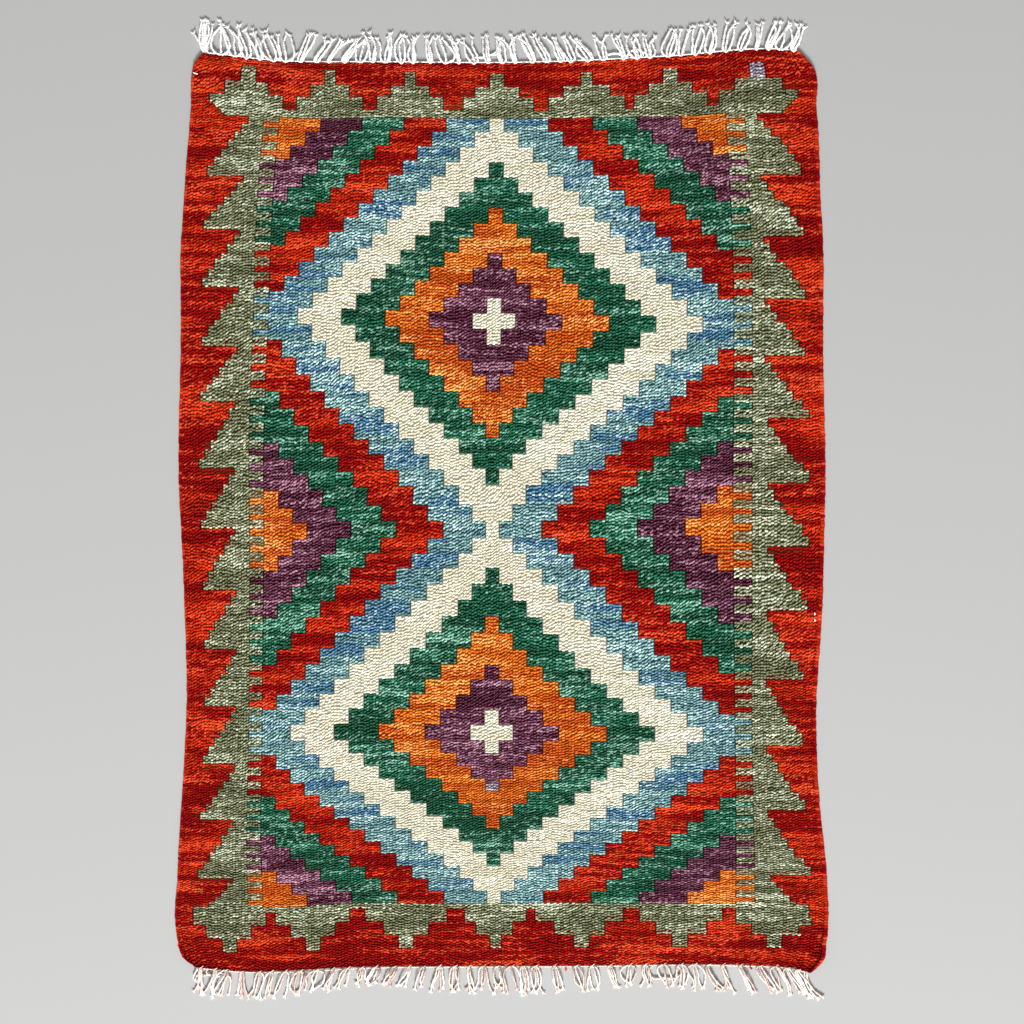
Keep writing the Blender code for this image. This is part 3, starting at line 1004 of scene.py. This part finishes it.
def build_selvedge(name, edge_column, inner_column, seed, wools):
    """The thick side of the cloth, where each weft turns back round the outer warps."""
    rng = np.random.default_rng(seed)
    count = ROWS * SELVEDGE_POINTS + 1
    rows = np.arange(count) / SELVEDGE_POINTS
    wrap = np.minimum(np.arange(count) // SELVEDGE_POINTS, ROWS - 1)
    part = np.arange(count) % SELVEDGE_POINTS
    edge_x, edge_y = place(edge_column, rows)
    inner_x, inner_y = place(inner_column, rows)
    under = lift(edge_x, edge_y)
    proud = rng.uniform(-SELVEDGE_PROUD, SELVEDGE_PROUD, ROWS)[wrap]
    outward = np.sign(edge_x - inner_x)
    fill = np.array(SELVEDGE_FILL)[part] * rng.uniform(*SELVEDGE_FILL_RANGE, ROWS)[wrap]
    half_x = np.abs(edge_x - inner_x) / 2 * fill
    half_z = SELVEDGE_TOP / 2 * fill
    middle_x = (edge_x + inner_x) / 2 + outward * proud
    angles = 2 * math.pi * np.arange(SELVEDGE_SIDES) / SELVEDGE_SIDES
    points = np.stack([
        middle_x[:, None] + half_x[:, None] * np.cos(angles),
        np.broadcast_to((edge_y + inner_y)[:, None] / 2, (count, SELVEDGE_SIDES)),
        (under + SELVEDGE_TOP / 2)[:, None] + half_z[:, None] * np.sin(angles),
    ], axis=-1).reshape(-1, 3)
    index = np.arange(count * SELVEDGE_SIDES).reshape(count, SELVEDGE_SIDES)
    beside = np.roll(index, -1, axis=1)
    a, b, c, d = index[:-1], beside[:-1], beside[1:], index[1:]
    faces = np.concatenate([
        np.stack([a, c, b], -1).reshape(-1, 3), np.stack([a, d, c], -1).reshape(-1, 3),
        [(index[0, 0], index[0, k], index[0, k + 1]) for k in range(1, SELVEDGE_SIDES - 1)],
        [(index[-1, 0], index[-1, k + 1], index[-1, k]) for k in range(1, SELVEDGE_SIDES - 1)],
    ])
    piece = mesh_of(name, points, faces, wools, np.full(len(faces), RED))
    chance = rng.uniform(0, 1, ROWS)[wrap]
    weave = np.stack([np.full(count, edge_column), wrap + 0.5, chance], axis=-1)
    add_vector(piece, "weave", np.repeat(weave, SELVEDGE_SIDES, axis=0))
    add_number(piece, "crest", np.repeat(np.array(SELVEDGE_CRESTS)[part], SELVEDGE_SIDES))
    return piece


# ---------------------------------------------------------------- cord and fringe
# Twined cord in mm: thread radius, radius of the twist, its pitch, and where it lies over the
# floor and out of the cloth
CORD_RADIUS = 0.45
CORD_TWIST_RADIUS = 0.32
CORD_PITCH = 6.0
CORD_STEPS_A_TURN = 6
CORD_SIDES = 5
CORD_HEIGHT = 1.9
CORD_OFFSET = 0.8
# Crest of all cotton and stray ends, high enough that they get no painted crease shade, and for
# the red stray wool a slight painted crown highlight
COTTON_CREST = 0.8
# Strands: points along each, its sides, how far its two plies stand out, and their turn
STRAND_STEPS = 15
STRAND_SIDES = 6
STRAND_START = (0.6, 0.85)
STRAND_TAPER = (1.0, 0.95)
PLY_LOBES = 0.2
PLY_TURN = 1.1
# Loose hairs of a strand's tip: how they fan out, their radii in mm, and their length by the
# strand's radius
TIP_FAN = (-1.0, -0.5, 0.0, 0.5, 1.0)
TIP_RADII = (0.9, 0.85, 0.65, 0.3)
TIP_LENGTH = 2.5
TIP_LENGTH_RANGE = (0.6, 1.3)
TIP_FAN_SCATTER = 0.3
TIP_SPLAY = 0.75
TIP_ROOT = 1.4
TIP_HEIGHTS = (0.9, 2.2)
TIP_SIDES = 4
# The turn of cotton at a knot: its height in mm, and how far it is pulled into the cloth
KNOT_TOP = 3.6
KNOT_STEPS = 7
KNOT_SIDES = 5
KNOT_PULL = (0.45, 1.1)
# Height in mm at which the strands leave the cloth, of their middle line on the floor, and of
# a stray strand, which comes down over this distance
ROOT_HEIGHT = 2.6
FLOOR_HEIGHT = 1.2
WILD_HEIGHT = 1.6
WILD_FALL = 9
# How the strands of a group differ: in mm, or as a share where it is a range
LEAN_SCATTER = 1.6
BOW_SHARES = (0.15, 0.4, 0.6, 1.0)
ROOT_FAN = 0.9
TIP_SPREAD = 1.3
TIP_SCATTER = 3.2
LENGTH_RANGE = (0.84, 1.08)
BULGE_RANGE = (0.5, 1.4)
BULGE_SCATTER = 1.2
HUMP_RANGE = (0.4, 1.0)
HOOK_SIDES = (0.0, 0.0, 0.0, -1.0, 1.0)
HOOK_SIZE = (2.0, 4.5)


def end_spot(outward, x):
    """A point on one end of the cloth, and its height there."""
    edge = FAR_EDGE if outward > 0 else NEAR_EDGE
    y = smooth_through(edge, x - CENTRE[0]) + CENTRE[1]
    return y, lift(x, y)


def tube(path, radii, sides, lobes=0.0, turn=0.0):
    """Points and faces of a closed tube along a path, with an optional two-ply twist."""
    path = np.asarray(path, float)
    count = len(path)
    tangent = np.gradient(path, axis=0)
    tangent /= np.linalg.norm(tangent, axis=1)[:, None]
    up = np.array((0.0, 0.0, 1.0))
    side = np.cross(tangent, up)
    length = np.linalg.norm(side, axis=1)[:, None]
    side = np.where(length > 1e-3, side / np.maximum(length, 1e-3), (1.0, 0.0, 0.0))
    rise = np.cross(side, tangent)
    angles = 2 * math.pi * np.arange(sides) / sides
    spin = turn * np.arange(count)
    turned = angles[None, :] + spin[:, None]
    reach = np.asarray(radii, float)[:, None] * (1 + lobes * np.cos(2 * angles))[None, :]
    ring = (
        path[:, None]
        + (reach * np.cos(turned))[..., None] * side[:, None]
        + (reach * np.sin(turned))[..., None] * rise[:, None]
    )
    points = ring.reshape(-1, 3)
    index = np.arange(count * sides).reshape(count, sides)
    nxt = np.roll(index, -1, axis=1)
    a, b, c, d = index[:-1], nxt[:-1], nxt[1:], index[1:]
    faces = np.concatenate([
        np.stack([a, b, c], -1).reshape(-1, 3), np.stack([a, c, d], -1).reshape(-1, 3),
    ])
    first, last = index[0], index[-1]
    caps = [(first[0], first[k + 1], first[k]) for k in range(1, sides - 1)]
    caps += [(last[0], last[k], last[k + 1]) for k in range(1, sides - 1)]
    return points, np.concatenate([faces, np.array(caps)])


class Bundle:
    """Gathers tubes, which become one mesh."""

    def __init__(self):
        self.points, self.faces, self.marks, self.count = [], [], [], 0

    def add(self, path, radii, sides, mark, lobes=0.0, turn=0.0):
        points, faces = tube(path, radii, sides, lobes, turn)
        self.points.append(points)
        self.faces.append(faces + self.count)
        self.marks.append(np.tile(mark, (len(points), 1)))
        self.count += len(points)

    def build(self, name, material):
        piece = mesh_of(name, np.concatenate(self.points), np.concatenate(self.faces), [material])
        add_vector(piece, "weave", np.concatenate(self.marks))
        add_number(piece, "crest", np.full(self.count, COTTON_CREST))
        return piece


def curve_through(points, steps):
    """A smooth path through a few points."""
    points = np.asarray(points, float)
    knots = np.arange(len(points))
    at = np.linspace(0, len(points) - 1, steps)
    return np.stack(
        [smooth_through(list(zip(knots, points[:, axis])), at) for axis in range(3)], axis=-1
    )


def build_cord(name, end, material):
    """Two threads twined round each other along one end of the cloth."""
    bundle = Bundle()
    x = np.arange(*end.span, CORD_PITCH / CORD_STEPS_A_TURN)
    y, height = end_spot(end.outward, x)
    y = y + end.outward * CORD_OFFSET
    for k in range(2):
        angle = 2 * math.pi * x / CORD_PITCH + math.pi * k
        path = np.stack([
            x,
            y + CORD_TWIST_RADIUS * np.cos(angle),
            height + CORD_HEIGHT + CORD_TWIST_RADIUS * np.sin(angle),
        ], axis=-1)
        mark = (end.outward * 40 + k, 3.0 * k, 0.7)
        bundle.add(path, np.full(len(x), CORD_RADIUS), CORD_SIDES, mark)
    return bundle.build(name, material)


def random_mark(rng):
    """A place of its own in the dye noise for one strand, and its chance."""
    return rng.uniform(0, 90), rng.uniform(0, 60), rng.uniform(0, 1)


def splay_tip(bundle, tip, heading, rng, mark, size):
    """Loose hairs where the end of a strand has come untwisted."""
    side = np.array((-heading[1], heading[0], 0.0))
    for turn in TIP_FAN:
        spread = turn + rng.uniform(-TIP_FAN_SCATTER, TIP_FAN_SCATTER)
        reach = size * rng.uniform(*TIP_LENGTH_RANGE)
        end = tip + heading * reach + side * reach * TIP_SPLAY * spread
        end[2] = rng.uniform(*TIP_HEIGHTS)
        middle = tip + heading * reach / 2 + side * reach * TIP_SPLAY / 3 * spread
        start = tip - heading * TIP_ROOT
        path = curve_through((start, middle, end), len(TIP_RADII))
        bundle.add(path, TIP_RADII, TIP_SIDES, mark)


def add_strand(bundle, points, radius, rng):
    """One warp end along a few points, twisted, with a loose tip."""
    path = curve_through(points, STRAND_STEPS)
    path[:, 2] = np.maximum(path[:, 2], radius * (1 + PLY_LOBES))
    mark = random_mark(rng)
    taper = np.linspace(*STRAND_TAPER, STRAND_STEPS - len(STRAND_START))
    radii = radius * np.concatenate((STRAND_START, taper))
    bundle.add(path, radii, STRAND_SIDES, mark, lobes=PLY_LOBES, turn=PLY_TURN)
    heading = path[-1] - path[-2]
    heading[2] = 0.0
    heading /= np.linalg.norm(heading)
    splay_tip(bundle, path[-1], heading, rng, mark, TIP_LENGTH * radius)


def add_group(bundle, end, knot, strands, rng):
    """The warp ends of one knot: they leave it to both sides, turn outward and cross."""
    lean = straight_through(end.lean, knot) + rng.uniform(-LEAN_SCATTER, LEAN_SCATTER)
    reach = straight_through(end.length, knot)
    group_bow = end.bow * rng.choice(BOW_SHARES)
    for s in range(strands):
        fan = (2 * s - (strands - 1)) / max(1, strands - 1)
        root = knot + ROOT_FAN * fan
        y, height = end_spot(end.outward, root)
        out = end.outward * reach * rng.uniform(*LENGTH_RANGE)
        bulge = group_bow * fan * rng.uniform(*BULGE_RANGE)
        bulge += rng.uniform(-BULGE_SCATTER, BULGE_SCATTER)
        tip = lean + TIP_SPREAD * fan + rng.uniform(-TIP_SCATTER, TIP_SCATTER)
        rise = end.hump * rng.uniform(*HUMP_RANGE)
        hook = rng.choice(HOOK_SIDES) * rng.uniform(*HOOK_SIZE)
        points = (
            (root, y - end.outward * 0.4, height + ROOT_HEIGHT),
            (root + 0.75 * bulge, y + 0.13 * out, height + 2.2 + 0.4 * rise),
            (root + bulge + 0.3 * lean, y + 0.38 * out, FLOOR_HEIGHT + rise + 0.3 * height),
            (root + 0.7 * bulge + 0.7 * tip, y + 0.72 * out, FLOOR_HEIGHT + 0.5 * rise),
            (root + 0.3 * bulge + tip + hook, y + out, FLOOR_HEIGHT),
        )
        add_strand(bundle, points, end.radius, rng)


def add_knot(bundle, end, knot, rng):
    """The turn of cotton that draws a group into the end of the cloth."""
    points = []
    pull = rng.uniform(*KNOT_PULL)
    for across, out in end.bight:
        x = knot + across
        y, height = end_spot(end.outward, x)
        out = CORD_OFFSET + (out - CORD_OFFSET) * pull
        points.append((x, y + end.outward * out, height + KNOT_TOP))
    path = curve_through(points, KNOT_STEPS)
    bundle.add(path, np.full(KNOT_STEPS, end.bight_radius), KNOT_SIDES, random_mark(rng))


def add_wild_strand(bundle, outward, path, radius, rng):
    """A strand that strays from its group: its places across, and how far out of the end."""
    points = []
    for x, out in path:
        y, height = end_spot(outward, x)
        on_cloth = max(0.0, 1 - out / WILD_FALL)
        points.append((x, y + outward * out, WILD_HEIGHT + height * on_cloth))
    add_strand(bundle, points, radius, rng)


# Strands that stray: places across and out from the end of the cloth, in mm
FAR_WILD = (
    ((-293, 0), (-295, 9), (-293, 19), (-294, 31)),
    ((-294, 0), (-298, 8), (-299, 19), (-297, 31)),
    ((-292, 0), (-293, 11), (-290, 20), (-290, 29)),
    ((-291, 0), (-291, 9), (-288, 17), (-286, 28)),
    ((-293, 0), (-296, 7), (-301, 14), (-304, 19)),
    ((-295, 0), (-296, 10), (-296, 21), (-295, 30)),
    ((-294, 0), (-292, 8), (-294, 18), (-292, 31)),
    ((-214, 0), (-208, 4), (-202, 9), (-197, 10)),
    ((-32, 0), (-28, 5), (-18, 6), (-9, 9)),
    ((96, 0), (104, 5), (113, 6), (121, 3)),
    ((121, 0), (127, 7), (133, 9), (138, 6)),
)
NEAR_WILD = (
    ((-299, 0), (-303, 6), (-305, 12), (-301, 15), (-297, 11), (-299, 7), (-303, 13), (-295, 26)),
    ((-296, 0), (-300, 5), (-296, 9), (-289, 6), (-282, 8), (-276, 6), (-274, 10), (-277, 24)),
    ((-290, 0), (-292, 5), (-286, 8), (-280, 4), (-272, 5), (-268, 9), (-270, 23)),
    ((150, 0), (144, 7), (150, 14), (160, 13)),
    ((172, 0), (177, 8), (170, 14), (162, 14)),
    ((300, 0), (302, 9), (308, 19), (316, 25)),
    ((298, 0), (299, 10), (304, 19), (311, 26)),
)


def build_fringe(name, end, seed, material):
    """The warp ends beyond one end of the cloth, in small uneven groups."""
    rng = random.Random(seed)
    bundle = Bundle()
    for knot in end.knots:
        add_group(bundle, end, knot, rng.choice(end.strands), rng)
        add_knot(bundle, end, knot, rng)
    for path in end.wild:
        add_wild_strand(bundle, end.outward, path, end.radius, rng)
    return bundle.build(name, material)


# Where the groups are knotted, from left to right, in mm
FAR_KNOTS = (
    -277.5, -263.8, -252.4, -239.1, -225.7, -213.9, -199.0, -183.2, -170.8, -155.5,
    -140.2, -128.0, -115.0, -99.4, -88.0, -71.0, -56.1, -42.8, -27.9, -13.8, 0.0, 13.1, 29.6,
    44.0, 57.6, 67.5, 84.6, 99.5, 119.7, 133.0, 145.5, 163.7, 176.8, 190.6, 204.9, 220.8,
    235.6, 251.0, 262.8, 275.2, 287.6,
)
NEAR_KNOTS = (
    -297.0, -283.5, -273.2, -257.4, -240.2, -228.0, -214.3, -199.0, -183.5, -167.6, -152.3,
    -139.0, -124.9, -107.1, -92.2, -78.1, -62.2, -46.7, -32.9, -18.7, -5.5, 9.4, 20.3, 32.4,
    51.2, 72.6, 88.5, 106.6, 125.8, 140.6, 159.3, 176.4, 190.1, 203.3, 217.6, 235.2, 254.3,
    269.8, 281.8, 291.5,
)

# How far the groups lean to the right at their tips, by the place across, in mm
FAR_LEAN = (
    (-293, -1), (-264, -4), (-226, -5), (-214, -3), (-204, 9), (-183, 12), (-155, 12),
    (-140, 3), (-115, 1), (-99, -2), (-71, -3), (-43, -4), (-28, -8), (-14, -6), (13, -5),
    (30, -7), (57, -8), (85, -12), (100, -6), (133, -5), (146, -1), (164, 3), (205, 5),
    (250, 6), (288, 9),
)
NEAR_LEAN = (
    (-301, 0), (-283, -6), (-273, -8), (-257, -1), (-214, -6), (-183, -6), (-139, -3),
    (-92, -5), (-60, -1), (-30, 3), (0, 1), (20, 5), (50, 3), (75, 8), (90, 0), (107, 6),
    (126, -2), (150, 2), (176, 2), (200, 6), (235, 11), (270, 10), (300, 14),
)

# How far the groups reach out from the end of the cloth, by the place across, in mm
FAR_LENGTH = (
    (-293, 29), (-264, 31), (-240, 28), (-200, 25), (-180, 22), (-140, 21), (-128, 27),
    (-100, 25), (30, 25), (84, 21), (120, 22), (146, 20), (164, 26), (200, 26), (288, 25),
)
NEAR_LENGTH = (
    (-301, 24), (-228, 25), (-199, 22), (-150, 17), (-90, 18), (-62, 23), (30, 26), (70, 23),
    (130, 18), (175, 21), (205, 25), (303, 26),
)

# The cotton of a knot: places across from it, and out of the end of the cloth
FAR_BIGHT = ((-2.6, 0.8), (-0.9, -0.5), (0.0, -1.5), (0.9, -0.5), (2.6, 0.8))
NEAR_BIGHT = ((-1.4, 0.8), (0.4, -0.6), (2.6, -2.3))

FAR_END = SimpleNamespace(
    outward=1, span=(-294.0, 290.0), knots=FAR_KNOTS, strands=(3, 3, 4), radius=1.4, bow=6.0,
    hump=2.6, bight=FAR_BIGHT, bight_radius=0.65, lean=FAR_LEAN, length=FAR_LENGTH,
    wild=FAR_WILD,
)
NEAR_END = SimpleNamespace(
    outward=-1, span=(-299.0, 300.0), knots=NEAR_KNOTS, strands=(3, 4, 4), radius=0.95,
    bow=6.0, hump=4.0, bight=NEAR_BIGHT, bight_radius=0.42, lean=NEAR_LEAN,
    length=NEAR_LENGTH, wild=NEAR_WILD,
)

# Short ends that stand out of the wool, as points in mm, with heights over the cloth's underside
COTTON_STRAY_RADIUS = 0.55
WOOL_STRAY_RADIUS = 0.8
COTTON_STRAYS = (
    ((-305.2, 431.6, 2.6), (-303.0, 430.8, 3.5), (-300.6, 430.2, 3.1)),
    ((308.0, -101.2, 2.9), (308.6, -102.2, 3.5), (308.4, -103.4, 2.9)),
    ((308.2, -107.6, 2.9), (308.8, -108.6, 3.5), (308.4, -109.8, 2.9)),
)
WOOL_STRAYS = (
    ((31.0, -451.6, 2.0), (31.6, -454.4, 1.6), (33.2, -455.2, 1.0)),
    ((62.6, -451.2, 2.0), (63.4, -453.6, 1.6), (62.4, -455.0, 1.0)),
    ((244.6, -450.0, 2.0), (245.4, -452.4, 1.6), (246.8, -453.4, 1.0)),
    ((-315.4, -423.0, 2.4), (-318.6, -426.4, 1.8), (-319.8, -430.4, 1.2)),
    ((281.4, 448.0, 3.2), (283.6, 451.4, 4.6), (286.0, 448.6, 3.2)),
    ((289.6, 430.2, 3.2), (291.6, 433.0, 4.6), (293.8, 430.4, 3.2)),
)


STRAY_STEPS = 7
STRAY_SIDES = 6


def build_strays(name, paths, radius, material):
    """Loose ends of yarn that stand out of the cloth."""
    bundle = Bundle()
    for k, points in enumerate(paths):
        lifted = [(x, y, lift(x, y) + height) for x, y, height in points]
        path = curve_through(lifted, STRAY_STEPS)
        bundle.add(path, np.full(STRAY_STEPS, radius), STRAY_SIDES, (20.0 * k, 9.0 * k, 0.8))
    return bundle.build(name, material)


# ---------------------------------------------------------------- the pieces together
def build_wefts(wools):
    """The floats of the whole cloth, zone by zone, and its two thick sides."""
    low_waist = NEAR_BORDER_ROWS + WAIST_STEPS[0] * STEP_ROWS
    high_waist = NEAR_BORDER_ROWS + WAIST_STEPS[1] * STEP_ROWS
    right_start = WARPS - FIELD_START
    zones = (
        ("weave_near_border", 1, WARPS - 1, 0, NEAR_BORDER_ROWS),
        ("weave_left_border", 1, FIELD_START, NEAR_BORDER_ROWS, FAR_BORDER_START),
        ("weave_near_diamond", FIELD_START, right_start, NEAR_BORDER_ROWS, low_waist),
        ("weave_waist", FIELD_START, right_start, low_waist, high_waist),
        ("weave_far_diamond", FIELD_START, right_start, high_waist, FAR_BORDER_START),
        ("weave_right_border", right_start, WARPS - 1, NEAR_BORDER_ROWS, FAR_BORDER_START),
        ("weave_far_border", 1, WARPS - 1, FAR_BORDER_START, ROWS),
    )
    wefts = [build_weave(*zone, seed, wools) for seed, zone in enumerate(zones, 1)]
    left_inner = LEFT_SELVEDGE + SELVEDGE_INSET
    right_inner = WARPS - RIGHT_SELVEDGE - SELVEDGE_INSET
    wefts.append(build_selvedge("selvedge_left", 0.0, left_inner, 31, wools))
    wefts.append(build_selvedge("selvedge_right", float(WARPS), right_inner, 32, wools))
    return wefts


def build_rug():
    """Every piece of the rug, each attached to the root body, with the parts of the model that
    they replace hidden.
    """
    groups = {
        "floats": make_floats_group(), "dye_and_painted_light": make_dye_and_painted_light_group(), "fibre": make_fibre_group(),
    }
    wools = [yarn_material(groups, *recipe) for recipe in WOOLS]
    cottons = {
        "far": yarn_material(groups, *WHITE_COTTON),
        "near": yarn_material(groups, *STAINED_AND_SHADED_COTTON),
    }
    sheet = build_sheet(wools)
    wefts = build_wefts(wools)
    trims = []
    for word, end, seed in (("far", FAR_END, 11), ("near", NEAR_END, 23)):
        cord = build_cord(f"twined_cord_{word}", end, cottons[word])
        fringe = build_fringe(f"fringe_{word}_ends", end, seed, cottons[word])
        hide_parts(f"fringe_{word}")
        trims += [cord, fringe]
    trims.append(build_strays("stray_cotton", COTTON_STRAYS, COTTON_STRAY_RADIUS, cottons["far"]))
    wefts.append(build_strays("stray_wool", WOOL_STRAYS, WOOL_STRAY_RADIUS, wools[RED]))

    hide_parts("kilim_cloth")
    for piece in [sheet, *wefts]:
        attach(piece, "root")
    for piece in trims:
        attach(piece, "root")


# ---------------------------------------------------------------- stage, in metres
VIEW_WIDTH = 1.0127
VIEW_CENTRE = (0.00965, -0.00197)
LENS = 50.0
SENSOR = 36.0
FLOOR_HALF = 6.0
FLOOR_COLOUR = (0.36, 0.36, 0.355, 1.0)
FLOOR_ROUGHNESS = 0.9
ROOM_COLOUR = (1.0, 0.99, 0.97, 1.0)
ROOM_LIGHT = 0.31
# Lights: name, place, size and power in watts. Each points at the middle of the rug
LIGHTS = (
    ("window_light", (0.3, -5.2, 3.4), 1.8, 780.0),
    ("ceiling_light", (-0.6, 0.4, 5.2), 4.0, 68.0),
)


def lay_floor():
    """A plain pale floor."""
    material = bpy.data.materials.new("pale_floor")
    material.use_nodes = True
    shader = material.node_tree.nodes["Principled BSDF"].inputs
    shader["Base Color"].default_value = FLOOR_COLOUR
    shader["Roughness"].default_value = FLOOR_ROUGHNESS
    mesh = bpy.data.meshes.new("floor")
    corners = [(-1, -1), (1, -1), (1, 1), (-1, 1)]
    mesh.from_pydata(
        [(FLOOR_HALF * x, FLOOR_HALF * y, 0) for x, y in corners], [], [(0, 1, 2, 3)]
    )
    mesh.materials.append(material)
    floor = bpy.data.objects.new("floor", mesh)
    bpy.context.scene.collection.objects.link(floor)


def light_room():
    """Soft light from the near side and from above."""
    for name, spot, size, power in LIGHTS:
        data = bpy.data.lights.new(name, "AREA")
        data.size = size
        data.energy = power
        lamp = bpy.data.objects.new(name, data)
        lamp.location = spot
        x, y, z = spot
        lamp.rotation_euler = (math.atan2(math.hypot(x, y), z), 0.0, math.atan2(x, -y))
        bpy.context.scene.collection.objects.link(lamp)
    world = bpy.data.worlds.new("soft_room")
    world.use_nodes = True
    background = world.node_tree.nodes["Background"].inputs
    background["Color"].default_value = ROOM_COLOUR
    background["Strength"].default_value = ROOM_LIGHT
    bpy.context.scene.world = world
    # Colours are shown as they are, without a film look
    bpy.context.scene.view_settings.view_transform = "Standard"


def set_camera():
    """A camera that looks straight down on the rug."""
    data = bpy.data.cameras.new("camera")
    data.lens = LENS
    data.sensor_width = SENSOR
    camera = bpy.data.objects.new("camera", data)
    camera.location = (*VIEW_CENTRE, VIEW_WIDTH * LENS / SENSOR)
    bpy.context.scene.collection.objects.link(camera)
    bpy.context.scene.camera = camera


build_rug()
lay_floor()
light_room()
set_camera()
